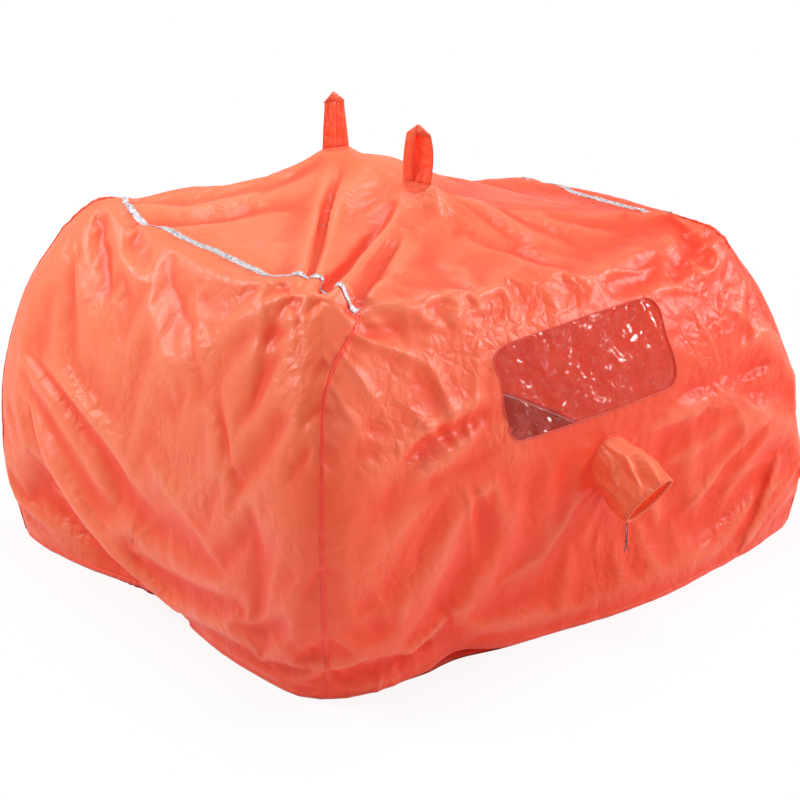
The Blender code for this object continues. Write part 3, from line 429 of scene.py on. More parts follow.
# %% Lift the hem, swell the roof, fold the sheet
def lifted_hem(points):
    """The hem stands off the floor left of the window, and dips in below the left drape."""
    low = smooth_step(0.80, 1.0, np.maximum(np.abs(A), np.abs(B)))
    front = np.exp(-(((A + 0.50) / 0.105) ** 2)) * (B < 0) * (np.abs(B) > np.abs(A))
    left = np.exp(-(((B - 0.12) / 0.17) ** 2)) * (A < 0) * (np.abs(A) > np.abs(B))
    moved = points.copy()
    moved[..., 2] += low ** 2 * (0.022 * front + 0.007 * left)
    moved[..., 1] += low * 0.016 * front
    moved[..., 0] += low * 0.020 * left
    return moved


# Where the roof stands higher than its outlines: middle x and y, spread x and y, rise, all in mm
SWELLS = ((-60, 75, 105, 90, 27), (620, -40, 75, 250, 26), (-400, 420, 180, 130, 12))


def swollen(points):
    """The roof lifted a little between the loops, past the right seam and at the rear left."""
    x, y, z = np.moveaxis(points, -1, 0)
    moved = points.copy()
    for at_x, at_y, wide, deep, rise in SWELLS:
        near = np.exp(-((1000 * x - at_x) / wide) ** 2 - ((1000 * y - at_y) / deep) ** 2)
        moved[..., 2] += 0.001 * rise * near * smooth_step(0.58, 0.70, z)
    return moved


raised = swollen(lifted_hem(plain))
sheet = folded(raised, FOLDS)
print("largest fold, mm:", round(float(np.abs(sheet - raised).max() * 1000), 1))

# %% [markdown]
# Drawn folds alone look carved. A short cloth simulation lets the sheet settle between them:
# the cloth is given a little more length than the form it lies on, so that it buckles and
# sags into folds of its own. Two maps steer it. One holds the hem, the loops and the
# shoulders in place, and the other spares the cloth round the window and the vent, where
# seams keep it flat.

# %% Where the cloth is held and where it grows
SETTLE_FRAMES = 22
EXTRA_LENGTH = 0.016
VENT_ON_LAYOUT = (0.055, -0.75)
HELD_PLACES = (
    # place on the layout, radius, how firmly: the shoulders, the loops and the vent
    ((-0.50, -0.48), 0.06, 0.6), ((-0.48, 0.43), 0.07, 0.7), ((0.50, -0.43), 0.07, 0.7),
    ((0.48, 0.43), 0.07, 0.7), ((0.0, -0.08), 0.05, 1.0), ((0.0, 0.07), 0.05, 1.0),
    (VENT_ON_LAYOUT, 0.09, 0.9))


def from_window(a, b):
    """Distance from the window on the layout: 1 is its edge."""
    return np.maximum(np.abs(a) / 0.36, np.abs(b + 0.615) / 0.085)


def hold_weights(a, b):
    """How firmly each corner of the sheet keeps its place: 1 is fixed."""
    weight = np.full(a.shape, 0.12)
    for (at_a, at_b), radius, firm in HELD_PLACES:
        distance = np.hypot(a - at_a, b - at_b)
        weight = np.maximum(weight, firm * (1.0 - smooth_step(radius * 0.6, radius * 1.6, distance)))
    weight = np.maximum(weight, 0.5 * (1.0 - smooth_step(0.95, 1.25, from_window(a, b))))
    return np.maximum(weight, smooth_step(0.955, 0.985, np.maximum(np.abs(a), np.abs(b))))


def spared_weights(a, b):
    """Where the cloth gets no extra length: 1 is none at all."""
    near_hem = smooth_step(0.90, 0.97, np.maximum(np.abs(a), np.abs(b)))
    grows = (1.0 - near_hem) * smooth_step(1.02, 1.5, from_window(a, b))
    vent = np.hypot(a - VENT_ON_LAYOUT[0], b - VENT_ON_LAYOUT[1])
    return 1.0 - grows * smooth_step(0.07, 0.16, vent)

print("held firmly:", round(float((hold_weights(A, B) > 0.5).mean() * 100)), "% of the sheet")

# %% [markdown]
# Blender's cloth modifier does the settling. Vertex groups carry the two maps, the scene is
# stepped frame by frame, and the settled corners are read from the evaluated object, so no
# simulation is left on any piece. It runs on every second corner, which takes a quarter of
# the time, and the moves are then spread over the full sheet. Settling flattens the drawn
# folds a little, so they go in once more at about half their height.

# %% Settle the cloth
def paint_group(cloth, name, weights):
    """A vertex group from an array of weights."""
    group = cloth.vertex_groups.new(name=name)
    weights = weights.round(2).reshape(-1)
    for value in np.unique(weights):
        group.add(np.flatnonzero(weights == value).tolist(), float(value), "REPLACE")


def settled(points):
    """The sheet after the simulation, at half the resolution of the layout."""
    coarse = points[::2, ::2]
    rows, columns = coarse.shape[:2]
    corner = np.arange(rows * columns).reshape(rows, columns)
    quads = np.stack([corner[:-1, :-1], corner[:-1, 1:], corner[1:, 1:], corner[1:, :-1]], -1).reshape(-1, 4)
    mesh = bpy.data.meshes.new("settling")
    mesh.from_pydata(coarse.reshape(-1, 3).tolist(), [], quads.tolist())
    cloth = bpy.data.objects.new("settling", mesh)
    bpy.context.scene.collection.objects.link(cloth)
    paint_group(cloth, "hold", hold_weights(A[::2, ::2], B[::2, ::2]))
    paint_group(cloth, "spared", spared_weights(A[::2, ::2], B[::2, ::2]))
    settings = cloth.modifiers.new("settle", "CLOTH").settings
    settings.quality = 5
    settings.mass = 0.05
    settings.tension_stiffness = 20.0
    settings.compression_stiffness = 20.0
    settings.shear_stiffness = 8.0
    settings.bending_stiffness = 4.0
    settings.air_damping = 2.0
    settings.vertex_group_mass = "hold"
    settings.pin_stiffness = 1.0
    settings.vertex_group_shrink = "spared"
    settings.shrink_min = -EXTRA_LENGTH
    settings.shrink_max = 0.0
    settings.effector_weights.gravity = 0.5
    scene = bpy.context.scene
    for number in range(1, SETTLE_FRAMES + 1):
        scene.frame_set(number)
    shown = cloth.evaluated_get(bpy.context.evaluated_depsgraph_get())
    result = np.empty(len(mesh.vertices) * 3)
    shown.data.vertices.foreach_get("co", result)
    bpy.data.objects.remove(cloth, do_unlink=True)
    scene.frame_set(1)
    return result.reshape(rows, columns, 3)


def doubled(grid):
    """A grid of values at twice the resolution, by a smooth curve through them."""
    for axis in (0, 1):
        grid = np.moveaxis(grid, axis, 0)
        padded = np.concatenate([grid[:1], grid, grid[-1:]])
        between = (9 * (grid[:-1] + grid[1:]) - padded[:-3] - padded[3:]) / 16
        wide = np.empty((2 * len(grid) - 1,) + grid.shape[1:])
        wide[::2], wide[1::2] = grid, between
        grid = np.moveaxis(wide, 0, axis)
    return grid


FOLDED_AGAIN = 0.55
moved = settled(sheet) - sheet[::2, ::2]
print("settled; largest move, mm:", round(float(np.linalg.norm(moved, axis=-1).max() * 1000), 1))
sheet = folded(sheet + doubled(moved), FOLDS, FOLDED_AGAIN)

# %% [markdown]
# Between the big folds the cloth is never smooth. Its small creases all come from one soft
# random pattern, sharpened so that it has thin crests with wide dips between them, as cloth
# has. The table of random values has a fixed seed, so that the same creases come back each
# time, and it is a plain array, because the mesh is moved by arrays as well.

# %% A soft random pattern
def soft_noise(u, v, seed):
    """Smooth random values from -1 to 1, about one bump per unit of u and of v."""
    table = np.random.default_rng(seed).uniform(-1.0, 1.0, (128, 128))
    low_u, low_v = np.floor(u).astype(int), np.floor(v).astype(int)
    s, t = u - low_u, v - low_v
    s, t = s * s * (3 - 2 * s), t * t * (3 - 2 * t)
    near = table[low_u % 128, low_v % 128] * (1 - s) + table[(low_u + 1) % 128, low_v % 128] * s
    far = table[low_u % 128, (low_v + 1) % 128] * (1 - s) + table[(low_u + 1) % 128, (low_v + 1) % 128] * s
    return near * (1 - t) + far * t


def creases(u, v, seed):
    """The same, sharpened into thin crests."""
    value = soft_noise(u, v, seed) + 0.35 * soft_noise(2.1 * u + 7.0, 1.7 * v, seed + 1)
    return 1.0 - 2.2 * np.abs(value) ** 0.8


print("noise sample:", round(float(soft_noise(np.array([0.5]), np.array([0.5]), 1)[0]), 3))

# %% [markdown]
# Short creases fan out from every place where the cloth is held or pressed: the shoulders, the
# loops, the corners of the window and the vent. Round each of these middles the pattern is read
# by direction and hardly by distance, so every crease runs straight out from the middle and
# fades away. Drawing them one by one would take hundreds of lines.

# %% Creases that fan out from held places
FANS = (
    # middle on the layout, reach m, creases all round, height mm
    ((-0.500, -0.480), 0.40, 19, 4.4),
    ((-0.480, 0.430), 0.36, 15, 4.2),
    ((0.500, -0.430), 0.40, 21, 4.4),
    ((0.480, 0.430), 0.34, 15, 4.2),
    ((0.000, -0.080), 0.24, 13, 3.4),
    ((-0.040, 0.060), 0.26, 13, 3.4),
    ((-0.350, -0.690), 0.34, 21, 4.6),
    ((-0.340, -0.540), 0.24, 15, 2.8),
    ((0.370, -0.560), 0.28, 17, 4.2),
    ((0.370, -0.690), 0.28, 17, 4.2),
    ((0.050, -0.752), 0.20, 17, 3.0),
    ((-0.680, -0.900), 0.30, 19, 3.6),
    ((-0.960, -0.960), 0.26, 15, 3.0),
    ((-0.900, 0.150), 0.34, 15, 3.0),
    ((0.860, -0.830), 0.60, 27, 4.4),
)


def fanned(points):
    """Creases that spread from each held place and die away."""
    normals = outward(points)
    lift = np.zeros(points.shape[:2])
    for seed, ((a, b), reach, count, height) in enumerate(FANS):
        middle = canopy_at(a, b)
        gap = points - middle
        radius = np.linalg.norm(gap, axis=-1)
        ahead = np.cross([0.31, 0.17, 0.93], normals)
        row, column = np.unravel_index(radius.argmin(), radius.shape)
        first = ahead[row, column] / np.linalg.norm(ahead[row, column])
        second = np.cross(normals[row, column], first)
        turn = np.arctan2(gap @ second, gap @ first) / math.tau
        ring = np.stack([np.cos(turn * math.tau), np.sin(turn * math.tau)], -1) * count / math.tau
        pattern = soft_noise(ring[..., 0] + 20, ring[..., 1] + 20 + radius * 2.0, seed * 5 + 3)
        pattern = 1.0 - 2.4 * np.abs(pattern) ** 0.75
        fade = smooth_step(0.02, 0.30 * reach, radius) * (1.0 - smooth_step(0.45 * reach, reach, radius))
        lift += height / 1000 * pattern * fade
    return points + normals * lift[..., None]


sheet = fanned(sheet)
print("fans of creases:", len(FANS))

# %% [markdown]
# Away from those places, long shallow rumples run down the walls and small crumples lie between
# them. They are only about a millimetre high, but light that slides along the cloth shows them.
# The crumples come and go in patches, because cloth crumples where it has been squeezed.

# %% Small rumples all over
def rumpled(points):
    """Long shallow rumples that run down the walls, and small crumples between them."""
    normals = outward(points)
    across = np.where(np.abs(A) > np.abs(B), points[..., 1] + 5.0, points[..., 0] + 9.0)
    down = np.maximum(np.abs(A), np.abs(B)) * 1.52
    lean = across + 0.35 * down
    long = creases(lean / 0.085, down / 0.42, 40) * 0.0010
    crumple = creases(across / 0.050 + 3.0, down / 0.070, 60) * 0.0009
    patchy = 0.5 + 0.5 * soft_noise(across / 0.30, down / 0.26, 80)
    return points + normals * (long + crumple * patchy)[..., None]


sheet = rumpled(sheet)
print("largest move, mm:", round(float(np.linalg.norm(sheet - plain, axis=-1).max() * 1000), 1))

# %% [markdown]
# Last come the sharpest lines, where the cloth is pulled straight between two points. They are
# put on after everything else, because the rumples would blur them. Like the folds, each is
# one line on the layout; a sharp one has a crest instead of a rounded back.

# %% Sharp pulls
PULLS = (
    ("sharp valley", 11, 17, ((-110, 25), (-180, -65), (-362, -330), (-495, -435))),
    ("sharp ridge", 10, 9, ((-115, 0), (-185, -90), (-362, -352), (-490, -446))),
    ("sharp ridge", 10, 8, ((-110, 45), (-170, -35), (-350, -300), (-480, -410))),
    ("sharp valley", 11, 16, ((-115, -130), (-210, -228), (-385, -392), (-482, -455))),
    ("sharp ridge", 10, 8, ((-110, -145), (-200, -252), (-370, -412), (-478, -472))),
    ("sharp valley", 10, 10, ((-95, -165), (-170, -262), (-320, -410), (-440, -480))),
    ("sharp ridge", 11, 9, ((-60, -165), (-120, -245), (-250, -385), (-380, -480))),
    ("sharp valley", 9, 8, ((-380, -250), (-430, -340), (-480, -410), (-540, -480))),
    ("sharp valley", 8, 4, ((-620, -250), (-655, -310), (-690, -380), (-720, -450))),
    ("sharp ridge", 9, 8, ((-740, 520), (-790, 410), (-850, 260), (-910, 90), (-970, -120))),
    ("sharp valley", 9, 8, ((-760, 460), (-830, 250), (-900, 30), (-955, -180))),
    ("sharp ridge", 8, 5, ((-660, 420), (-720, 160), (-800, -110))),
    ("sharp ridge", 12, 8, ((-610, -600), (-500, -640), (-400, -655))),
    ("sharp valley", 12, 8, ((-600, -640), (-480, -668), (-380, -680))),
    ("sharp ridge", 17, 13, ((380, -655), (520, -635), (680, -640))),
    ("sharp valley", 16, 12, ((370, -690), (520, -680), (690, -700))),
    ("sharp ridge", 14, 8, ((120, -715), (320, -708), (580, -728))),
    ("sharp ridge", 16, 12, ((280, -880), (430, -795), (580, -725))),
    ("sharp valley", 14, 9, ((150, -900), (340, -840), (520, -750))),
    ("sharp ridge", 8, 5, ((-350, -465), (-240, -452), (-130, -462), (-20, -455))),
    ("sharp valley", 8, 5, ((-330, -485), (-220, -470), (-100, -478))),
    ("sharp ridge", 8, 5, ((-300, -520), (-180, -495), (-60, -500))),
    ("sharp ridge", 8, 5, ((100, -455), (200, -470), (330, -455))),
    ("sharp valley", 8, 5, ((180, -490), (280, -500), (400, -480))),
)
print("sharp pulls:", len(PULLS))

# %% [markdown]
# Each loop is sewn to the ridge along a short line and pulls a little tent up out of the roof.
# The sheet is raised to the loop's foot along that line and less and less beside it. Around
# the ridge itself the folds are taken out again: there the sheet's corners lie so close
# together that a fold would crumple them into each other.

# %% The roof drawn up to the loops
# Foot of each loop, its turn about the upright, and half the length of its sewn line
LOOP_FEET = {"near": ((-0.12541, -0.08587, 0.98138), math.radians(-72), 0.040),
             "far": ((-0.12541, 0.22413, 0.99822), math.radians(-15), 0.031)}
UNDER_FOOT, TENT_SPREAD = 0.0012, 0.034
HEM_ABOVE_FLOOR = 0.0006


def drawn_up(points):
    """The roof pulled to the height of each loop's foot, along the line where it is sewn."""
    moved = points.copy()
    for foot, turn, half in LOOP_FEET.values():
        way = np.array((math.cos(turn), math.sin(turn)))
        gap = moved[..., :2] - foot[:2]
        along = np.clip(gap @ way, -half, half)
        distance = np.linalg.norm(gap - along[..., None] * way, axis=-1)
        distance = np.where(moved[..., 2] > 0.6, distance, 9.0)
        stops = np.linspace(-half, half, 9)
        heights = []
        for stop in stops:
            away = np.linalg.norm(gap - stop * way, axis=-1) + 9.0 * (moved[..., 2] < 0.6)
            heights.append(moved[..., 2][np.unravel_index(away.argmin(), away.shape)])
        rise = foot[2] - UNDER_FOOT - np.interp(along, stops, heights)
        moved[..., 2] += rise * np.exp(-(distance / TENT_SPREAD) ** 2)
    return moved


def calm_ridge(points):
    """The ridge keeps its plain form: folds only begin a few centimetres below it."""
    share = np.maximum(np.abs(A), np.abs(B))
    return raised + (points - raised) * smooth_step(0.066, 0.135, share)[..., None]


sheet = drawn_up(calm_ridge(folded(sheet, PULLS)))
sheet[..., 2] = np.maximum(sheet[..., 2], HEM_ABOVE_FLOOR)
print("highest place of the roof:", round(float(sheet[..., 2].max()), 4))

# %% [markdown]
# Creases too fine for the mesh also fan out from the places where the cloth is held. In the
# shader they are a ridged noise that is read by the direction from a middle only: it is the
# same all along a ray, so it draws straight creases that spread. They start a little way off
# the middle, where rays would crowd, and fade with the distance.

# %% Fine creases that fan out from the held places
CREASE_MIDDLES = (
    # place in metres, creases per unit of angle, reach in metres
    ((-0.60, -0.44, 0.80), 5.5, 0.75), ((0.90, -0.50, 0.66), 7.0, 1.05),
    ((-0.125, -0.086, 0.98), 5.5, 0.50), ((-0.125, 0.224, 0.99), 5.5, 0.45),
    ((0.046, -0.55, 0.46), 4.5, 0.32))


def faded(tree, far, start, end, **ends):
    """A share that changes smoothly with the distance between a start and an end."""
    return add_node(tree, "MapRange", {"interpolation_type": "SMOOTHSTEP"}, Value=far,
                    From_Min=start, From_Max=end, **ends)


def fan_heights(tree, place):
    """Creases that are constant along rays from each middle, and fade with the distance."""
    total = None
    for seed, (middle, density, reach) in enumerate(CREASE_MIDDLES):
        gap = add_node(tree, "VectorMath", {"operation": "SUBTRACT"}, i0=place, i1=middle)
        way = add_node(tree, "VectorMath", {"operation": "NORMALIZE"}, i0=gap)
        far = add_node(tree, "VectorMath", {"operation": "LENGTH"}, i0=gap).outputs["Value"]
        crest = add_node(tree, "TexNoise",
                         {"noise_type": "RIDGED_MULTIFRACTAL", "noise_dimensions": "4D"},
                         Vector=way, W=seed * 3.7, Scale=density, Detail=2.0, Roughness=0.5,
                         Distortion=0.25)
        begun = add_math(tree, "MULTIPLY", crest, faded(tree, far, 0.03, 0.35 * reach))
        ended = faded(tree, far, 0.30 * reach, reach, To_Min=1.0, To_Max=0.0)
        height = add_math(tree, "MULTIPLY", begun, ended)
        total = height if total is None else add_math(tree, "ADD", total, height)
    return total


print("middles of fine creases:", len(CREASE_MIDDLES))

# %% [markdown]
# Light and shade are painted into the cloth's colour here. Towards the upper left rear the colour is mixed
# paler and more orange, a painted sheen for the light that comes through the cloth from behind, over a random
# unevenness of tone. Valleys are mixed a deeper red, painted shade for light that goes back and forth between
# the walls and takes up more dye each time, and ridges are mixed pale, a painted highlight. The mesh carries
# how far it stands out as an attribute named crease, from -1 in a valley to 1 on a ridge, and the shader only
# has to read it.

# %% Painted sheen, shade and highlights of the coated nylon
VALLEY_PAINTED_SHADE, RIDGE_PAINTED_HIGHLIGHT = "#EC3A1A", "#FBA078"
PAINTED_SHEEN_TOWARDS = (-0.75, 0.40, 1.10)


def nylon_colour_with_painted_light(tree, place, cloud, colours):
    """A random tone and a painted sheen towards the upper left, then painted shade in valleys and painted
    highlights on ridges.
    """
    # Painted sheen: the colour turns paler towards the upper left rear, with a random tone over it.
    spot = add_node(tree, "VectorMath", {"operation": "DOT_PRODUCT"}, i0=place, i1=PAINTED_SHEEN_TOWARDS)
    uneven = add_math(tree, "MULTIPLY_ADD", cloud, 0.8, spot.outputs["Value"])
    paler = add_node(tree, "MapRange", Value=uneven, From_Min=0.75, From_Max=1.75)
    broad = add_tint(tree, paler, linear(colours[0]), linear(colours[1]))
    crease = add_node(tree, "Attribute", {"attribute_name": "crease"}).outputs["Fac"]
    # Painted shade in the valleys and painted highlights on the ridges.
    valley = add_node(tree, "MapRange", Value=crease, From_Min=-0.05, From_Max=-1.0, To_Max=0.62)
    ridge = add_node(tree, "MapRange", Value=crease, From_Min=0.10, From_Max=1.0, To_Max=0.42)
    deeper = add_tint(tree, valley, broad, linear(VALLEY_PAINTED_SHADE))
    return add_tint(tree, ridge, deeper, linear(RIDGE_PAINTED_HIGHLIGHT))


print("valleys:", VALLEY_PAINTED_SHADE, "ridges:", RIDGE_PAINTED_HIGHLIGHT)

# %% [markdown]
# Crumpled coated cloth breaks into flat facets that meet in blunt edges. A Voronoi texture's
# distance to its cells' edges is just that: a field of little roofs. Two sizes of them are
# laid over each other, the small ones only in patches. Over these come a few long crests, the
# fans, the finest crumples and the weave. The weave's threads are about 0.1 mm, far too fine
# to show, so it is drawn at 1.2 mm, just enough to break up the sheen.

# %% Relief of the coated nylon
def facets(tree, place, cloud, scale):
    """Flat facets, their places bent a little so that no two are alike."""
    bent = add_node(tree, "VectorMath", {"operation": "MULTIPLY_ADD"}, i0=cloud.outputs["Color"],
                    i1=(0.12, 0.12, 0.12), i2=place)
    return add_node(tree, "TexVoronoi", {"feature": "DISTANCE_TO_EDGE"}, Vector=bent,
                    Scale=scale).outputs["Distance"]


def nylon_relief(tree, place, cloud, crumple):
    """Everything too fine for the mesh: the relief without the weave, and the whole relief."""
    some = add_node(tree, "MapRange", Value=cloud, From_Min=0.42, From_Max=0.62)
    patchy = add_math(tree, "MULTIPLY", facets(tree, place, cloud, 31.0), some)
    slanted = add_node(tree, "Mapping", Vector=place, Rotation=(0.5, 0.35, 0.6), Scale=(1.0, 1.0, 0.42))
    crest = add_node(tree, "TexNoise", {"noise_type": "RIDGED_MULTIFRACTAL"},
                     Vector=slanted, Scale=5.0, Detail=2.0, Roughness=0.50, Distortion=0.5)
    weave = add_node(tree, "TexNoise", Vector=place, Scale=800.0, Detail=1.0)
    large_facets = add_bump(tree, facets(tree, place, cloud, 11.0), 0.34, 0.020)
    small_facets = add_bump(tree, patchy, 0.50, 0.012, Normal=large_facets)
    crests = add_bump(tree, crest, 0.14, 0.004, Normal=small_facets)
    fans = add_bump(tree, fan_heights(tree, place), 0.45, 0.005, Normal=crests)
    crumpled = add_bump(tree, crumple, 0.22, 0.003, Normal=fans)
    return crumpled, add_bump(tree, weave, 0.12, 0.0003, Normal=crumpled)


print("relief made of", [helper.__name__ for helper in (facets, fan_heights)], "and noise")

# %% [markdown]
# The shelter is coated nylon taffeta: very thin, plain woven, dyed bright orange-red, with a
# slippery coating that gives it a soft sheen. Light comes through it, so the shader is mixed
# from a surface that reflects and one that lets light through. A glass shader would let
# things be seen through it, which this cloth doesn't.

# %% Coated nylon
def nylon(name, colours, through, share_through=0.34, roughness=0.40):
    """Plain woven nylon with a thin coating: reflected and let-through light together."""
    material, tree, place = new_finish(name)
    cloud = add_node(tree, "TexNoise", Vector=place, Scale=5.0, Detail=3.0)
    crumple = add_node(tree, "TexNoise", Vector=place, Scale=38.0, Detail=5.0, Distortion=1.6)
    crumpled, woven = nylon_relief(tree, place, cloud, crumple)
    rough = add_node(tree, "MapRange", Value=crumple,
                     To_Min=roughness - 0.06, To_Max=roughness + 0.10)
    # The base colour carries the painted sheen, shade and highlights.
    front = add_node(tree, "BsdfPrincipled", Base_Color=nylon_colour_with_painted_light(tree, place, cloud, colours),
                     Roughness=rough, Normal=woven, Specular_IOR_Level=0.50, Sheen_Weight=0.14)
    behind = add_node(tree, "BsdfTranslucent", Color=linear(through), Normal=crumpled)
    mixed = add_node(tree, "MixShader", i0=share_through, i1=front, i2=behind)
    add_node(tree, "OutputMaterial", Surface=mixed)
    return material


# The second colour is the painted sheen that the upper left is mixed towards.
CANOPY_NYLON = nylon("coated_nylon_taffeta", ("#F1552F", "#F6885A"), "#FF6236")
print("material:", CANOPY_NYLON.name)

# %% [markdown]
# The sheet is cut along its seams into the panels that it was sewn from: one long body panel
# for front, roof and rear, and two end panels. Cutting the finished sheet keeps the folds
# running across the seams. The corner seams lie on the diagonals of the layout, so the small
# squares there are cut in half.

# %% Faces of the panels
def layout_faces():
    """Quads of the layout, and halves along the diagonals, with the panel each belongs to."""
    body, left, right = [], [], []
    width = STEPS + 1
    middle = STEPS // 2
    seam = round(SEAM_SHARE * middle)
    for row in range(STEPS):
        for column in range(STEPS):
            one, two = row * width + column, row * width + column + 1
            four, three = one + width, two + width
            x, y = column - middle + 0.5, row - middle + 0.5
            if abs(x) < seam or abs(x) < abs(y):
                body.append((one, two, three, four))
            elif abs(x) > abs(y):
                (left if x < 0 else right).append((one, two, three, four))
            else:
                lower = (one, two, three) if x * y > 0 else (one, two, four)
                upper = (one, three, four) if x * y > 0 else (two, three, four)
                body.append(lower if y < 0 else upper)
                (right if x > 0 else left).append(upper if y < 0 else lower)
    return {"body_cloth": body, "left_end_cloth": left, "right_end_cloth": right}


panel_faces = layout_faces()
flat_sheet = sheet.reshape(-1, 3).copy()
print("panel faces:", {name: len(faces) for name, faces in panel_faces.items()})

# %% [markdown]
# The painted shade of the valleys and the painted highlights of the ridges need to know where the cloth is a
# valley and where a ridge. Each corner is compared with the cloth a few centimetres round it, smoothed in
# small steps, and the plain canopy's own roundness is taken away. Blender's pointiness reads only the nearest
# corners, too short a reach for a fold; an attribute is worked out once and goes with the mesh.

# %% Valleys and ridges
DEEPEST_CREASE = 0.0080


def standing_out(points):
    """How far each corner stands out of the cloth a few centimetres round it, in metres."""
    wide = points
    corners = np.arange(STEPS + 1)
    for step in (1, 2, 4, 4):
        for axis in (0, 1):
            before = np.take(wide, np.maximum(corners - step, 0), axis)
            after = np.take(wide, np.minimum(corners + step, STEPS), axis)
            wide = (wide + before + after) / 3
    return np.einsum("ijk,ijk->ij", points - wide, outward(points))


def cut_piece(name, points, faces, material):
    """One cut piece with only the corners that it uses, and the crease attribute on them."""
    used = np.unique(np.concatenate([np.array(face) for face in faces]))
    renumber = np.zeros(len(points), int)
    renumber[used] = np.arange(len(used))
    piece = add_piece(name, points[used], [tuple(renumber[list(face)]) for face in faces], material)
    piece.data.attributes.new("crease", "FLOAT", "POINT").data.foreach_set("value", crease_depth[used])
    return piece


crease_depth = (standing_out(sheet) - standing_out(plain)) / DEEPEST_CREASE
crease_depth = np.clip(crease_depth, -1.0, 1.0).reshape(-1)
print("part of the cloth in deep valleys:", round(float((crease_depth < -0.5).mean()), 3))

# %% [markdown]
# The window and the vent are let into the front wall, so the body panel needs two clean
# holes. Cutting with a Boolean would leave slivers in so fine a sheet. Instead every corner
# of the sheet gets its distance from the hole's outline, negative inside, and the corners
# nearest to the outline are slid onto it. Then whole faces can be left out.

# %% Outline of the window, and distance from an outline
WINDOW = {"width": 0.555, "height": 0.215, "cut": 0.050, "waist": 0.016, "x": 0.0086, "z": 0.615}


def window_outline(margin=0.0):
    """The opening seen from the front: cut corners, waisted sides, all rounded over."""
    half_x, half_z = WINDOW["width"] / 2 + margin, WINDOW["height"] / 2 + margin
    cut = WINDOW["cut"]
    right = [(half_x - cut, -half_z), (half_x - 0.25 * cut, -half_z + 0.25 * cut),
             (half_x, -half_z + cut), (half_x - WINDOW["waist"], 0.25 * half_z),
             (half_x - 0.1 * cut, half_z - 0.8 * cut), (half_x - 0.4 * cut, half_z - 0.2 * cut),
             (half_x - cut, half_z)]
    left = [(-x, z) for x, z in reversed(right)]
    # The left side bulges a little more than the right one
    left[1] = (left[1][0] - 0.007, left[1][1])
    left[2] = (left[2][0] - 0.010, left[2][1] + 0.010)
    left[3] = (left[3][0] - 0.004, left[3][1] + 0.012)
    ring = np.array(right + left)
    for _ in range(3):
        after = np.roll(ring, -1, 0)
        ring = np.stack([0.75 * ring + 0.25 * after, 0.25 * ring + 0.75 * after], 1).reshape(-1, 2)
    return ring + (WINDOW["x"], WINDOW["z"])


def outline_distance(spots, ring):
    """Distance of flat spots from a closed outline, negative inside it."""
    nearest, inside = np.full(len(spots), 9.0), np.zeros(len(spots), bool)
    for start, end in zip(ring, np.roll(ring, -1, 0)):
        way = end - start
        t = np.clip((spots - start) @ way / (way @ way), 0.0, 1.0)
        nearest = np.minimum(nearest, np.linalg.norm(spots - start - t[:, None] * way, axis=1))
        crosses = (start[1] > spots[:, 1]) != (end[1] > spots[:, 1])
        reach = start[0] + (spots[:, 1] - start[1]) * way[0] / (way[1] if way[1] else 1e-12)
        inside ^= crosses & (spots[:, 0] < reach)
    return np.where(inside, -nearest, nearest)


print("window outline stops:", len(window_outline()))

# %% [markdown]
# One function cuts both holes. Squares near the outline are halved, the end of each crossing
# edge that lies nearer to the outline is slid onto it, and the faces inside are left out.
# What it hands back, besides the faces, is the hole's rim in order: the edge, the film and
# the sleeve are all made from it, so that they meet the cloth exactly.

# %% Cut a hole along an outline
def cut_hole(points, faces, distance):
    """Slides corners onto the outline and leaves out the faces inside it."""
    kept, near = [], []
    for face in faces:
        values = distance[list(face)]
        if values.min() > 0:
            kept.append(face)
        elif values.max() > 0:
            near += [(face[0], face[1], face[2]), (face[0], face[2], face[3])] if len(face) == 4 else [face]
    for face in near:
        for one, two in zip(face, face[1:] + face[:1]):
            if distance[one] * distance[two] < 0:
                t = distance[one] / (distance[one] - distance[two])
                mover = one if t < 0.5 else two
                points[mover] = points[one] + (points[two] - points[one]) * t
                distance[mover] = 0.0
    kept += [face for face in near if distance[list(face)].min() >= 0 and distance[list(face)].max() > 0]
    edges = set()
    on_line = distance == 0.0
    for face in kept:
        if on_line[list(face)].any():
            edges |= {(one, two) for one, two in zip(face, face[1:] + face[:1])
                      if on_line[one] and on_line[two]}
    rim = {one: two for one, two in edges if (two, one) not in edges}
    order = [next(iter(rim))]
    while rim.get(order[-1], order[0]) != order[0] and len(order) <= len(rim):
        order.append(rim[order[-1]])
    return kept, order


front = (flat_sheet[:, 1] < -0.35) & (flat_sheet[:, 2] > 0.15)
window_distance = np.full(len(flat_sheet), 9.0)
window_distance[front] = outline_distance(flat_sheet[front][:, [0, 2]], window_outline())
panel_faces["body_cloth"], window_rim = cut_hole(flat_sheet, panel_faces["body_cloth"], window_distance)
print("corners round the window:", len(window_rim))

# %% [markdown]
# The vent is a sleeve of the same cloth, sewn into a round hole and drooping from it. Its
# place and its axis are those of the fixed model's hinge. Along the axis the round root
# flattens into a slanted, lens-shaped mouth, whose edge is folded in for the drawcord.

# %% Where the vent sits
def unit(vectors):
    """Directions of length 1, for one vector or a whole array of them."""
    return vectors / np.linalg.norm(vectors, axis=-1, keepdims=True)


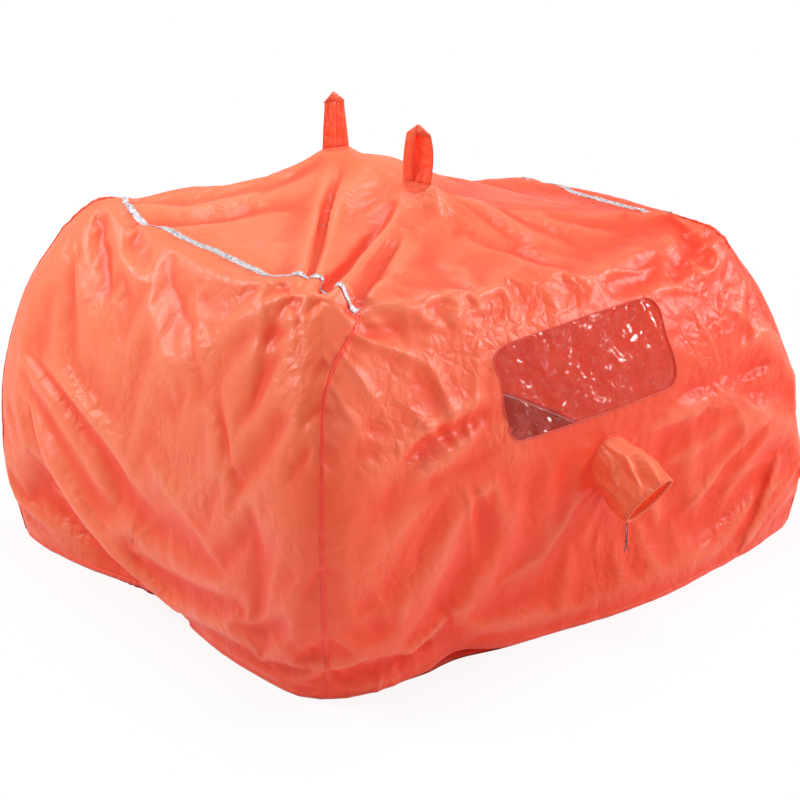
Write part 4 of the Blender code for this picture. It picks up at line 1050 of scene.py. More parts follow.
VENT_AT = np.array((0.04581, -0.57936, 0.38406))
VENT_AXIS = unit(np.array((0.00064, -0.92746, -0.37392)))
VENT_X = np.array((1.0, 0.00069, 0.0))
VENT_X = unit(VENT_X - VENT_AXIS * (VENT_X @ VENT_AXIS))
VENT_Y = np.cross(VENT_AXIS, VENT_X)
ROOT_RADIUS, VENT_LENGTH = 0.0665, 0.138
MOUTH_LONG, MOUTH_SHORT, MOUTH_TURN = 0.072, 0.027, math.radians(40)
WALL_OUT = np.array((0.0, -0.9994, 0.0333))
gap = flat_sheet - VENT_AT
gap = gap - (gap @ WALL_OUT)[:, None] * WALL_OUT
vent_distance = np.where(front, np.linalg.norm(gap, axis=1) - ROOT_RADIUS, 9.0)
panel_faces["body_cloth"], vent_rim = cut_hole(flat_sheet, panel_faces["body_cloth"], vent_distance)
print("corners round the vent:", len(vent_rim))

# %% [markdown]
# With its holes cut, the cloth becomes three pieces. Each rides the canopy's body and stands in for the fixed
# model's plain panel.

# %% Make the three panels
panels = {name: cut_piece(name, flat_sheet, faces, CANOPY_NYLON) for name, faces in panel_faces.items()}
for name, node in (("body_cloth", "body_panel"), ("left_end_cloth", "left_end_panel"),
                   ("right_end_cloth", "right_end_panel")):
    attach(panels[name], "canopy")
    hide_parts(node)
print("panels:", {name: len(piece.data.polygons) for name, piece in panels.items()})

# %% [markdown]
# Every seam, tape and patch lies on the finished sheet, so they all ask it where it is. This
# helper reads a place between the sheet's corners, and which way is out there. Shrinkwrap
# would do the same for a finished tape, but it would lose the tape's own thickness.

# %% Find a place on the sheet
sheet_normals = outward(sheet)


def on_cloth(a, b, lift=0.0):
    """Points on the sheet and their outward directions."""
    normal = unit(place_on(sheet_normals, a, b))
    return place_on(sheet, a, b) + normal * lift, normal


def line_length(points):
    """Length of a line of points."""
    return float(np.linalg.norm(np.diff(points, axis=0), axis=1).sum())


print("ridge of the finished sheet:", on_cloth(0.0, 0.0)[0].round(3))

# %% [markdown]
# A tape is a small closed profile carried along a line of such places. A curve object with a
# bevel would do it too, but its profile twists where the line bends sharply; here the
# cloth's own outward direction holds it flat. It gets a layout of its own in metres, so that
# a weave can follow it.

# %% Lay a tape along a line
def sweep(name, path, normals, profile, material, closed=False):
    """A profile of (across, out) pairs in millimetres carried along a path, closed at its ends."""
    path, normals, profile = np.array(path), np.array(normals), np.array(profile) / 1000
    along = unit(np.roll(path, -1, 0) - np.roll(path, 1, 0) if closed else np.gradient(path, axis=0))
    across = unit(np.cross(normals, along))
    up = np.cross(along, across)
    rings = path[:, None] + across[:, None] * profile[None, :, :1] + up[:, None] * profile[None, :, 1:]
    count, size = len(path), len(profile)
    faces = []
    for row in range(count if closed else count - 1):
        start, after = row * size, ((row + 1) % count) * size
        for k in range(size):
            n = (k + 1) % size
            faces.append((start + k, after + k, after + n, start + n))
    if not closed:
        faces += [tuple(range(size)), tuple(reversed(range((count - 1) * size, count * size)))]
    piece = add_piece(name, rings.reshape(-1, 3), faces, material)
    passed = np.concatenate([[0], np.cumsum(np.linalg.norm(np.diff(path, axis=0), axis=1))])
    corners = np.array([loop.vertex_index for loop in piece.data.loops])
    uv = np.stack([profile[corners % size, 0], passed[corners // size]], -1)
    piece.data.uv_layers.new(name="UVMap").data.foreach_set("uv", uv.reshape(-1))
    return face_out(piece)


def face_out(piece):
    """Turns a closed piece's faces to point out of its own volume."""
    bm = bmesh.new()
    bm.from_mesh(piece.data)
    bmesh.ops.recalc_face_normals(bm, faces=bm.faces)
    bm.to_mesh(piece.data)
    bm.free()
    return piece


def settle_on(piece, body, slot, *nodes):
    """A finished piece rides a body and stands for its nodes; the slot is not used."""
    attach(piece, body)
    if nodes:
        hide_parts(*nodes)
    return piece


print("helpers of the tapes:", [helper.__name__ for helper in (sweep, face_out, settle_on)])

# %% [markdown]
# The corner seams are felled: two edges of cloth are folded into each other and sewn flat,
# which leaves a firm narrow band. Four layers lie on each other there, so little light comes
# through and the dye looks stronger and redder than on the wall beside it.

# %% Corner seams
SEAM_NYLON = nylon("folded_nylon_seam", ("#FF4225", "#FF4B2C"), "#FF3A1C", share_through=0.12,
                   roughness=0.36)
SEAM_PROFILE = ((-5.8, -0.6), (-5.6, 0.5), (-4.3, 1.2), (0.0, 1.5), (4.3, 1.2), (5.6, 0.5), (5.8, -0.6))
# The seam of the near corner starts further down and wanders in to the silver strip's end
NEAR_CORNER = "front_left"
SEAM_START, NEAR_START, SEAM_END, WANDER = 0.388, 0.462, 0.992, 0.087
seam_lines = {}
for name, side_a, side_b in (("front_left", -1, -1), ("rear_left", -1, 1),
                             ("front_right", 1, -1), ("rear_right", 1, 1)):
    share = np.linspace(NEAR_START if name == NEAR_CORNER else SEAM_START, SEAM_END, 150)
    a, b = side_a * share, side_b * share
    if name == NEAR_CORNER:
        a = a + WANDER * (1.0 - smooth_step(NEAR_START, 0.600, share))
    path, normals = on_cloth(a, b, 0.0006)
    seam = sweep(name + "_felled_seam", path, normals, SEAM_PROFILE, SEAM_NYLON)
    settle_on(seam, "canopy", "seam_tape", name + "_seam")
    seam_lines[name] = (path, normals)
    print(name, "seam:", round(line_length(path), 3), "m")

# %% [markdown]
# A silver tape covers the seam between the roof and each end. It is retroreflective fabric:
# glass beads in a grey resin, heat-bonded to a woven backing. In a studio it looks pale grey
# and slightly grainy, with small cracks where it has been folded. It follows every fold of
# the cloth below it, so it zigzags where the strong folds cross it.

# %% Retroreflective tape
def beaded_tape(name):
    """Glass beads in grey resin: half metal, rough, with a fine grain and worn cracks."""
    material, tree, place = new_finish(name)
    bead = add_node(tree, "TexVoronoi", Vector=place, Scale=900.0)
    crack = add_node(tree, "TexNoise", Vector=place, Scale=90.0, Detail=4.0, Distortion=2.0)
    wear = add_node(tree, "ValToRGB", i0=crack)
    wear.color_ramp.elements[0].position, wear.color_ramp.elements[0].color = 0.36, linear("#8F8B8E")
    wear.color_ramp.elements[1].position, wear.color_ramp.elements[1].color = 0.55, linear("#D6D5DA")
    grain = add_bump(tree, bead.outputs["Distance"], 0.35, 0.0005)
    shader = add_node(tree, "BsdfPrincipled", Base_Color=wear, Metallic=0.35,
                      Roughness=0.46, Normal=add_bump(tree, crack, 0.4, 0.001, Normal=grain))
    add_node(tree, "OutputMaterial", Surface=shader)
    return material


SILVER = beaded_tape("glass_bead_reflective_fabric")
STRIP_PROFILE = ((-8.0, -0.5), (-8.0, 0.5), (-7.4, 0.8), (0.0, 0.9), (7.4, 0.8), (8.0, 0.5), (8.0, -0.5))
LEFT_STRIP_LONGER = 0.085
for name, side in (("left", -1), ("right", 1)):
    b = np.linspace(-SEAM_SHARE - (LEFT_STRIP_LONGER if side < 0 else 0.0), SEAM_SHARE, 300)
    path, normals = on_cloth(np.full_like(b, side * SEAM_SHARE), b, 0.0012)
    strip = sweep(name + "_silver_strip", path, normals, STRIP_PROFILE, SILVER)
    settle_on(strip, "canopy", "reflective_tape", name + "_reflective_strip")
    seam_lines[name + "_strip"] = (path, normals)
    print(name, "strip:", round(line_length(path), 3), "m")

# %% [markdown]
# The hem is the cloth's own edge, rolled over twice and stitched. On the floor it is the only
# stiff line of the shelter, so it keeps its height while the wall above it folds.

# %% Rolled hem
HEM_NYLON = nylon("rolled_nylon_hem", ("#F04E33", "#F65C3E"), "#F44A2E", share_through=0.12,
                  roughness=0.48)
HEM_PROFILE = ((-2.0, 11.5), (-2.6, 6.0), (-2.4, 1.6), (-1.2, 0.1), (0.6, 0.1), (2.0, 1.6),
               (2.4, 6.0), (2.0, 11.0), (0.8, 12.0), (-0.8, 12.2))
hem_lines = {}
for name, axis, side in (("front", 1, -1), ("rear", 1, 1), ("left", 0, -1), ("right", 0, 1)):
    run = np.linspace(-0.997, 0.997, 260)
    rim = np.full_like(run, float(side))
    path = on_cloth(run, rim)[0] if axis == 1 else on_cloth(rim, run)[0]
    path[:, 2] = np.maximum(path[:, 2], 0.0)
    upright = np.tile([0.0, 0.0, 1.0], (len(path), 1))
    hem = sweep("hem_" + name, path, upright, HEM_PROFILE, HEM_NYLON)
    settle_on(hem, "canopy", "hem_tape", "hem_tape_" + name)
    hem_lines[name] = path
print("hem, all round:", round(sum(line_length(path) for path in hem_lines.values()), 3), "m")

# %% [markdown]
# The window's edge is the cloth turned under and sewn to the film with one row of stitches.
# That makes a soft bead, a few millimetres wide, which follows the opening all round.

# %% Turned edge of the window
WINDOW_STOPS = 300


def even_ring(points, count, smooth=3):
    """A closed ring of points at even spacing, lightly smoothed."""
    for _ in range(smooth):
        points = 0.5 * points + 0.25 * (np.roll(points, 1, 0) + np.roll(points, -1, 0))
    closed = np.vstack([points, points[:1]])
    passed = np.concatenate([[0.0], np.cumsum(np.linalg.norm(np.diff(closed, axis=0), axis=1))])
    stops = np.linspace(0.0, passed[-1], count, endpoint=False)
    return np.stack([np.interp(stops, passed, closed[:, k]) for k in range(3)], -1)


window_ring = even_ring(flat_sheet[window_rim], WINDOW_STOPS)
window_middle = window_ring.mean(0)
spokes = window_ring - window_middle
quarter = WINDOW_STOPS // 4
if np.cross(spokes[0], spokes[quarter])[1] > 0:
    window_ring = window_ring[::-1].copy()
wall_slope = unit(np.cross(window_ring[quarter] - window_ring[3 * quarter],
                           window_ring[2 * quarter] - window_ring[0]))
wall_slope = wall_slope if wall_slope[1] < 0 else -wall_slope
window_normals = np.tile(wall_slope, (WINDOW_STOPS, 1))
EDGE_PROFILE = ((-1.2, -0.9), (-1.5, 0.1), (-0.8, 0.9), (0.6, 1.1), (2.6, 0.7), (3.2, 0.0), (2.4, -0.7))
TURNED_NYLON = nylon("turned_nylon_edge", ("#D8402A", "#E44A30"), "#E8452C", share_through=0.15,
                     roughness=0.5)
window_edge = sweep("window_turned_edge", window_ring, window_normals, EDGE_PROFILE, TURNED_NYLON,
                    closed=True)
settle_on(window_edge, "canopy", "canopy_cloth")
print("window edge:", round(line_length(np.vstack([window_ring, window_ring[:1]])), 3), "m")

# %% [markdown]
# The window itself is clear polyurethane film, half a millimetre thick. It is folded up with the rest
# whenever the shelter is packed, so it is full of creases that catch the light one by one. Its glossy part is
# painted a dull red, painted shade for the inside seen through the film, and a pale pink along the sharpest
# creases, a painted highlight. A glass shader would bend the view and darken it, so the film is mixed from a
# see-through shader and a glossy one, glossier at grazing angles and along the creases.

# %% Clear film
def clear_film(name):
    """Clear film: mostly see-through, with a gloss that grows towards grazing angles."""
    material, tree, place = new_finish(name)
    ripple = add_node(tree, "TexNoise", Vector=place, Scale=26.0, Detail=4.0, Distortion=2.0)
    sharp = add_node(tree, "TexVoronoi", {"feature": "DISTANCE_TO_EDGE"}, Vector=ripple.outputs[1],
                     Scale=14.0)
    slanted = add_node(tree, "Mapping", Vector=place, Rotation=(0.0, math.radians(-22), 0.0),
                       Scale=(0.16, 1.0, 1.0))
    crest = add_node(tree, "TexNoise", {"noise_type": "RIDGED_MULTIFRACTAL"},
                     Vector=slanted, Scale=19.0, Detail=3.0, Roughness=0.6, Distortion=0.35)
    crease = add_node(tree, "MapRange", Value=crest, From_Min=1.12, From_Max=1.50)
    soft = add_bump(tree, ripple, 0.6, 0.010)
    rippled = add_bump(tree, sharp.outputs["Distance"], 0.8, 0.006, Normal=soft)
    creased = add_bump(tree, crest, 0.7, 0.006, Normal=rippled)
    # Painted colour: a dull red painted shade of the inside seen through the film, and a pale pink painted
    # highlight along the sharpest creases.
    gloss = add_node(tree, "BsdfPrincipled", IOR=1.50, Roughness=0.09, Normal=creased,
                     Base_Color=add_tint(tree, crease, linear("#E0604F"), linear("#FFDCCF")),
                     Coat_Weight=1.0, Coat_Roughness=0.04)
    through = add_node(tree, "BsdfTransparent", Color=linear("#F2CFC8"))
    edge = add_node(tree, "LayerWeight", Blend=0.35, Normal=creased)
    shine = add_node(tree, "MapRange", Value=edge.outputs["Fresnel"], To_Min=0.24, To_Max=0.90)
    share = add_math(tree, "MAXIMUM", shine, add_math(tree, "MULTIPLY", crease, 0.85))
    mixed = add_node(tree, "MixShader", i0=share, i1=through, i2=gloss)
    add_node(tree, "OutputMaterial", Surface=mixed)
    return material


FILM = clear_film("clear_polyurethane_film")
print("material:", FILM.name)

# %% [markdown]
# The film's mesh is a set of rings that shrink from the opening to its middle, so that its
# edge follows the opening exactly. The rings are moved in and out by the same sharpened
# pattern as the cloth, only crisper, and sink a little behind the turned edge.

# %% The window's film
def ring_faces(rows, columns, start=0, closed=True):
    """Quads between rows of corners; closed rows join their last corner to their first."""
    faces = []
    for row in range(rows - 1):
        for column in range(columns if closed else columns - 1):
            here = start + row * columns + column
            beside = start + row * columns + (column + 1) % columns
            faces.append((here, beside, beside + columns, here + columns))
    return faces


RINGS, FILM_SINK, HIDDEN_EDGE = 44, 0.0022, 1.040
shrink = np.concatenate([[HIDDEN_EDGE], np.linspace(1.0, 0.03, RINGS)])
rings = window_middle + (window_ring[None] - window_middle) * shrink[:, None, None]
x, z = rings[..., 0], rings[..., 2]
wave = 0.0050 * creases(x / 0.075 + z / 0.20, z / 0.16 - x / 0.30, 201)
wave = wave + 0.0026 * creases(x / 0.031, z / 0.038 + x / 0.09, 211)
wave = wave + 0.0010 * creases(x / 0.014, z / 0.016, 221)
rings = rings + wall_slope * (wave * smooth_step(0.0, 0.10, 1.0 - shrink)[:, None] - FILM_SINK)[..., None]
film_points = np.vstack([rings.reshape(-1, 3), rings[-1].mean(0)])
film_faces = ring_faces(RINGS + 1, WINDOW_STOPS)
innermost = RINGS * WINDOW_STOPS
film_faces += [(innermost + k, innermost + (k + 1) % WINDOW_STOPS, len(film_points) - 1)
               for k in range(WINDOW_STOPS)]
film = add_piece("window_clear_film", film_points, film_faces, FILM)
settle_on(film, "canopy", "clear_film", "window_film")
print("film corners:", len(film_points))

# %% [markdown]
# The sleeve is lofted from the hole's own rim, so that wall and sleeve share their seam. The
# rim's corners are sorted by their bearing round the vent's axis and read at even steps, which
# gives the first ring. Every further ring has as many corners.

# %% First ring of the vent sleeve
TURNS = 120
ROOT_STOPS = 240
vent_ring = even_ring(flat_sheet[vent_rim], ROOT_STOPS, smooth=1)
local = (vent_ring - VENT_AT) @ np.stack([VENT_X, VENT_Y, VENT_AXIS], -1)
bearing = np.arctan2(local[:, 1], local[:, 0])
order = np.argsort(bearing)
bearing, vent_ring = bearing[order], vent_ring[order]
turn = np.arange(TURNS) / TURNS * math.tau - math.pi
root = np.stack([np.interp(turn, bearing, vent_ring[:, k], period=math.tau) for k in range(3)], -1)
print("first ring of the sleeve:", len(root), "corners")

# %% [markdown]
# Along its axis the sleeve flattens from round to a slanted lens. It is pleated where it is
# sewn in, loosely creased further out, and puckered where the stitches of the casing draw it
# together. All of these are measured outwards from the smooth form.

# %% Shape of the sleeve
SLEEVE_RADIUS = 0.064


def sleeve_ring(along, inward=0.0):
    """One ring of the sleeve: round at the root, a slanted lens at the mouth."""
    flat = smooth_step(0.0, VENT_LENGTH, along) * 0.6 + 0.4 * along / VENT_LENGTH
    long = SLEEVE_RADIUS + (MOUTH_LONG - SLEEVE_RADIUS) * flat
    short = SLEEVE_RADIUS + (MOUTH_SHORT - SLEEVE_RADIUS) * flat
    spin = turn - MOUTH_TURN
    bulge = 1.0 + 0.035 * math.sin(math.pi * along / VENT_LENGTH)
    x = (long * bulge - inward) * np.cos(spin)
    y = (short * bulge - inward) * np.sin(spin)
    x, y = (x * math.cos(MOUTH_TURN) - y * math.sin(MOUTH_TURN),
            x * math.sin(MOUTH_TURN) + y * math.cos(MOUTH_TURN))
    return VENT_AT + x[:, None] * VENT_X + y[:, None] * VENT_Y + along * VENT_AXIS


def sleeve_folds(along):
    """Pleats at the root, creases along the sleeve and puckers in the casing."""
    pleat = 0.0028 * np.cos(turn * 22 + 0.8 * np.sin(3 * turn)) * math.exp(-along / 0.022)
    around = np.stack([np.cos(turn), np.sin(turn)], -1) * 2.1
    loose = creases(around[:, 0] + 9.0 + along * 6, around[:, 1] + 9.0 - along * 9, 301)
    small = creases(around[:, 0] * 3 + 40 + along * 30, around[:, 1] * 3 + 40, 311)
    pucker = 0.0009 * np.cos(turn * 34) * smooth_step(VENT_LENGTH - 0.022, VENT_LENGTH - 0.008, along)
    middle = math.sin(math.pi * min(1.0, along / VENT_LENGTH)) ** 0.5
    return pleat + (0.0066 * loose + 0.0022 * small) * middle + pucker


print("deepest crease half-way, mm:", round(float(np.abs(sleeve_folds(VENT_LENGTH / 2)).max() * 1000), 1))

# %% [markdown]
# At the mouth the cloth turns in and runs back a little way, which leaves a channel for the cord. The sleeve
# takes the place of the fixed model's sleeve, which is hidden.

# %% Vent sleeve
TURNED_IN = (
    # how far along the axis, how far inside the outer face
    (VENT_LENGTH, 0.0010), (VENT_LENGTH - 0.0004, 0.0036), (VENT_LENGTH - 0.003, 0.0050),
    (VENT_LENGTH - 0.008, 0.0054), (VENT_LENGTH - 0.014, 0.0048))
stations = np.concatenate([np.linspace(0.004, VENT_LENGTH - 0.014, 34),
                           np.linspace(VENT_LENGTH - 0.012, VENT_LENGTH - 0.0008, 8)])
rings = [root]
for along in stations:
    ring = sleeve_ring(along)
    ring = ring + unit(ring - VENT_AT - along * VENT_AXIS) * sleeve_folds(along)[:, None]
    stay = 1.0 - smooth_step(0.0, 0.026, along)
    rings.append(ring * (1 - stay) + (root + along * VENT_AXIS) * stay)
casing_dent = sleeve_folds(VENT_LENGTH)
for along, inward in TURNED_IN:
    ring = sleeve_ring(along, inward)
    rings.append(ring + (ring - VENT_AT - along * VENT_AXIS) / 0.05 * casing_dent[:, None])
# The sleeve's colours are paler than the canopy's though it is the same cloth: painted light for the top
# light on the vent.
SLEEVE_NYLON_PAINTED_LIGHT = nylon("coated_nylon_sleeve_painted_light", ("#F87A50", "#FFB08A"), "#FF6236", share_through=0.30)
sleeve = add_piece("vent_sleeve_cloth", np.concatenate(rings), ring_faces(len(rings), TURNS), SLEEVE_NYLON_PAINTED_LIGHT)
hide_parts("vent_sleeve")
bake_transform(sleeve)
print("sleeve corners:", len(rings) * TURNS)

# %% [markdown]
# A felled seam also runs round the root of the sleeve. Its stitches pucker it, so its line
# rises and falls a little forty times on its way round.

# %% Seam round the root of the vent
ROOT_PROFILE = ((-3.6, -0.8), (-3.8, 0.4), (-2.4, 1.3), (0.0, 1.7), (2.4, 1.3), (3.8, 0.4), (3.6, -0.8))
ROOT_PUCKERS = 40
root_normals = np.tile(WALL_OUT, (ROOT_STOPS, 1))
pucker = 0.0006 * np.cos(np.arange(ROOT_STOPS) / ROOT_STOPS * math.tau * ROOT_PUCKERS)
root_path = vent_ring + WALL_OUT * (0.0006 + pucker[:, None])
root_seam = sweep("vent_root_seam", root_path, root_normals, ROOT_PROFILE, SEAM_NYLON, closed=True)
settle_on(root_seam, "canopy", "seam_tape", "vent_root_binding")
print("root seam:", round(math.tau * ROOT_RADIUS, 3), "m")

# %% [markdown]
# Two loops stand on the ridge, to hang the shelter by. Each is one folded strip of doubled
# cloth, about 30 mm wide: up one leg, folded over twice at the top to turn back, and down the
# other leg. The two folds make the pointed peak. Each leg is a small grid between its two
# edges, puffed a little and creased, which is easier to steer than a box bent by hand.

# %% One leg of a loop
LOOP_TALL, LOOP_SHOULDER = 0.1375, 0.116
LEG_ROWS, LEG_COLUMNS = 57, 15


def leg_grid(edge_in, edge_out, seed, crumple):
    """A grid between two edge lines in the loop's plane: x across, y out of the plane, z up."""
    u, v = np.meshgrid(np.linspace(0, 1, LEG_COLUMNS), np.linspace(0, 1, LEG_ROWS))
    stops = np.linspace(0, 1, len(edge_in))
    inner = np.stack([np.interp(v, stops, [p[k] for p in edge_in]) for k in (0, 1)], -1)
    outer = np.stack([np.interp(v, stops, [p[k] for p in edge_out]) for k in (0, 1)], -1)
    flat = inner * (1 - u[..., None]) + outer * u[..., None]
    crease = crumple * creases(flat[..., 0] / 0.012 + seed, flat[..., 1] / 0.030, seed)
    y = (0.0014 * np.sin(math.pi * u) ** 0.5 + crease * np.sin(math.pi * u) * np.sin(math.pi * v) ** 0.3)
    return np.stack([flat[..., 0], y, flat[..., 1]], -1)


print("corners of a leg:", leg_grid(((0, 0), (0, 0.1)), ((0.03, 0), (0.03, 0.1)), 1, 0.001).shape[:2])

# %% [markdown]
# The grid is used twice, once for each skin of the doubled cloth, and the two are welded
# along their shared edges. A little wedge closes the peak where the strip is folded over. The
# rows of stitches run down each leg inside its edges, so they are picked from the same grid.

# %% A loop is two legs and a folded peak
def loop_peak(left, right, low, start):
    """The corners and faces of the wedge at the top."""
    points = [(x, y, low) for x in (left, right) for y in (-0.0034, 0.0034)]
    points += [(0.5 * (left + right), y, LOOP_TALL + 0.0004) for y in (-0.0022, 0.0022)]
    faces = ((0, 2, 4), (1, 5, 3), (0, 1, 3, 2), (2, 3, 5, 4), (0, 4, 5, 1))
    return points, [tuple(start + corner for corner in face) for face in faces]


def loop_piece(name, foot, turn, legs, peak):
    """Each leg is (inner edge, outer edge, how far it bows out of the plane, crumple)."""
    points, faces, rows = [], [], []
    for seed, (inner, outer, bow, crumple) in enumerate(legs):
        grid = leg_grid(inner, outer, 410 + 10 * seed, crumple)
        rise = grid[..., 2] / LOOP_TALL
        middle = bow * np.sin(math.pi * np.clip(rise, 0, 1)) ** 0.8 + 0.0010 * np.sign(bow)
        for skin in (1, -1):
            side = grid.copy()
            side[..., 1] = np.maximum(grid[..., 1], 0.0006) * skin
            side[:, 0, 1] = side[:, -1, 1] = 0.0
            side[0, :, 1] = side[-1, :, 1] = 0.0
            side[..., 1] += middle
            rows += [side[7:-8, 12], side[7:-8, 2]]
            leg = ring_faces(LEG_ROWS, LEG_COLUMNS, len(points), closed=False)
            faces += [tuple(reversed(face)) for face in leg] if skin < 0 else leg
            points += side.reshape(-1, 3).tolist()
    wedge_points, wedge_faces = loop_peak(*peak, start=len(points))
    piece = add_piece(name, points + wedge_points, faces + wedge_faces, LOOP_NYLON)
    stand = Matrix.Translation(foot) @ Matrix.Rotation(turn, 4, "Z")
    piece.data.transform(stand)
    rows = [np.array([stand @ Vector(point) for point in row]) for row in rows]
    return join_skins(piece), rows


def join_skins(piece):
    """Welds the two skins along their shared edges and turns the faces out."""
    bm = bmesh.new()
    bm.from_mesh(piece.data)
    bmesh.ops.remove_doubles(bm, verts=bm.verts, dist=0.00002)
    bmesh.ops.recalc_face_normals(bm, faces=bm.faces)
    bm.to_mesh(piece.data)
    bm.free()
    return piece


LOOP_NYLON = nylon("doubled_nylon_loop", ("#F25C36", "#F88258"), "#FF6A40", share_through=0.45,
                   roughness=0.40)
print("loop cloth:", LOOP_NYLON.name)

# %% [markdown]
# The two loops differ, as two hand-sewn ones do. The near one stands with its legs apart, so
# that one looks into its eye. The far one is folded flat with its legs side by side, and its
# peak leans over. Each rides a body of its own, so that it can fold down to the roof.

# %% The two loops
NEAR_LEGS = (
    # the pale leg in front, then the wide one behind it, whose crumpled inner face fills the eye
    (((-0.011, -0.001), (-0.010, 0.050), (-0.007, 0.085), (-0.003, 0.108), (0.0006, LOOP_TALL)),
     ((-0.040, -0.001), (-0.037, 0.050), (-0.033, 0.085), (-0.029, LOOP_SHOULDER), (-0.002, LOOP_TALL)),
     -0.0065, 0.0010),
    (((-0.024, -0.001), (-0.024, 0.050), (-0.020, 0.085), (-0.014, 0.108), (-0.0006, LOOP_TALL)),
     ((0.034, -0.001), (0.037, 0.050), (0.036, 0.085), (0.031, LOOP_SHOULDER), (0.002, LOOP_TALL)),
     0.0065, 0.0026))
FAR_LEGS = (
    (((0.0014, -0.001), (0.0006, 0.050), (-0.0004, 0.090), (-0.0012, 0.112), (-0.0050, LOOP_TALL)),
     ((-0.035, -0.001), (-0.033, 0.050), (-0.030, 0.085), (-0.028, LOOP_SHOULDER), (-0.007, LOOP_TALL)),
     -0.0012, 0.0014),
    (((-0.0010, -0.001), (-0.0006, 0.050), (0.0000, 0.090), (0.0012, 0.112), (-0.0056, LOOP_TALL)),
     ((0.036, -0.001), (0.031, 0.050), (0.027, 0.085), (0.024, LOOP_SHOULDER), (-0.003, LOOP_TALL)),
     0.0012, 0.0014))
LOOP_PEAKS = {"near": (-0.030, 0.032, 0.113), "far": (-0.029, 0.025, 0.113)}
loops, loop_rows = {}, {}
for name, legs in (("near", NEAR_LEGS), ("far", FAR_LEGS)):
    foot, turn_up, half_line = LOOP_FEET[name]
    loop, rows = loop_piece(name + "_loop_cloth", foot, turn_up, legs, LOOP_PEAKS[name])
    settle_on(loop, name + "_loop", "loop_cloth", name + "_loop")
    loops[name], loop_rows[name] = loop, rows
    print(name, "loop:", tuple(round(side, 3) for side in loop.dimensions))

# %% [markdown]
# Under each loop a round patch spreads the pull. It is a second layer of cloth, sewn down
# with a ring of stitches that pucker its edge. It is made of rings on the sheet itself, each
# one asked for its height, so that the patch follows the ridge and its folds.

# %% Patches under the loops
def height_on_sheet(x, y):
    """How high the finished sheet stands at places near the ridge, by its nearest corners."""
    roof = np.abs(np.stack([A, B], -1)).max(-1) < 0.30
    corners = sheet[roof]
    heights = []
    for px, py in zip(np.ravel(x), np.ravel(y)):
        distance = np.hypot(corners[:, 0] - px, corners[:, 1] - py)
        nearest = np.argpartition(distance, 6)[:6]
        weight = 1.0 / (distance[nearest] + 0.0008) ** 2
        heights.append((corners[nearest, 2] * weight).sum() / weight.sum())
    return np.array(heights).reshape(np.shape(x))


PATCH_TURNS, PATCH_RINGS, PATCH_PUCKERS = 72, 15, 26
patch_rings, patches = [], {}
for name, (foot, turn_up, half_line) in LOOP_FEET.items():
    spin = np.linspace(0, math.tau, PATCH_TURNS, endpoint=False)
    reach = np.linspace(0.002, 0.034, PATCH_RINGS)
    x = foot[0] + reach[:, None] * np.cos(spin)
    y = foot[1] + reach[:, None] * np.sin(spin)
    pucker = 0.0007 * np.cos(spin * PATCH_PUCKERS) * smooth_step(0.018, 0.030, reach)[:, None]
    z = height_on_sheet(x, y) + 0.0016 + pucker
    z[-1] -= 0.0016
    rings = np.stack([x, y, z], -1)
    faces = [face[::-1] for face in ring_faces(PATCH_RINGS, PATCH_TURNS)] + [tuple(range(PATCH_TURNS))]
    patch = add_piece(name + "_loop_patch_cloth", rings.reshape(-1, 3), faces, LOOP_NYLON)
    settle_on(patch, "canopy", "loop_cloth", name + "_loop_patch")
    patch_rings.append(rings[-3] + (0.0, 0.0, 0.0004))
    patches[name] = patch
    print(name, "patch stands at", round(float(z.max()), 3))

# %% [markdown]
# Inside, a seat of tougher cloth runs along each long hem. Weight on it pulls the hem down and
# keeps the wind out. Each seat is a flat sheet with a bound edge, laid on the floor and joined
# to the hem by a narrow strip, about which it folds up. It is given a real thickness, because
# both its sides show once it is folded up.

# %% Cloth of a seat
SEAT_NYLON = nylon("heavy_coated_nylon_seat", ("#B5341F", "#C23C25"), "#B02C18", share_through=0.04,
                   roughness=0.55)
SEAT_LENGTH, SEAT_DEPTH, SEAT_CORNER, SEAT_THICK = 1.240, 0.300, 0.030, 0.0014
# Middle of each seat's hinge, and the way from it to the middle of the floor
SEAT_HINGES = {"front": (0.00459, -0.52062, 1.0), "rear": (0.00459, 0.65888, -1.0)}


def thick_sheet(name, top, bottom, material):
    """Two grids of corners of the same shape, faced and closed round their rim."""
    rows, columns = top.shape[:2]
    below = rows * columns
    faces = []
    for one, two, three, four in ring_faces(rows, columns, closed=False):
        faces += [(one, two, three, four), (one + below, four + below, three + below, two + below)]
    corner = np.arange(below).reshape(rows, columns)
    rim = [*corner[0], *corner[1:, -1], *corner[-1, -2::-1], *corner[-2:0:-1, 0]]
    faces += [(one, one + below, two + below, two) for one, two in zip(rim, rim[1:] + rim[:1])]
    corners = np.vstack([top.reshape(-1, 3), bottom.reshape(-1, 3)])
    return face_out(add_piece(name, corners, faces, material))


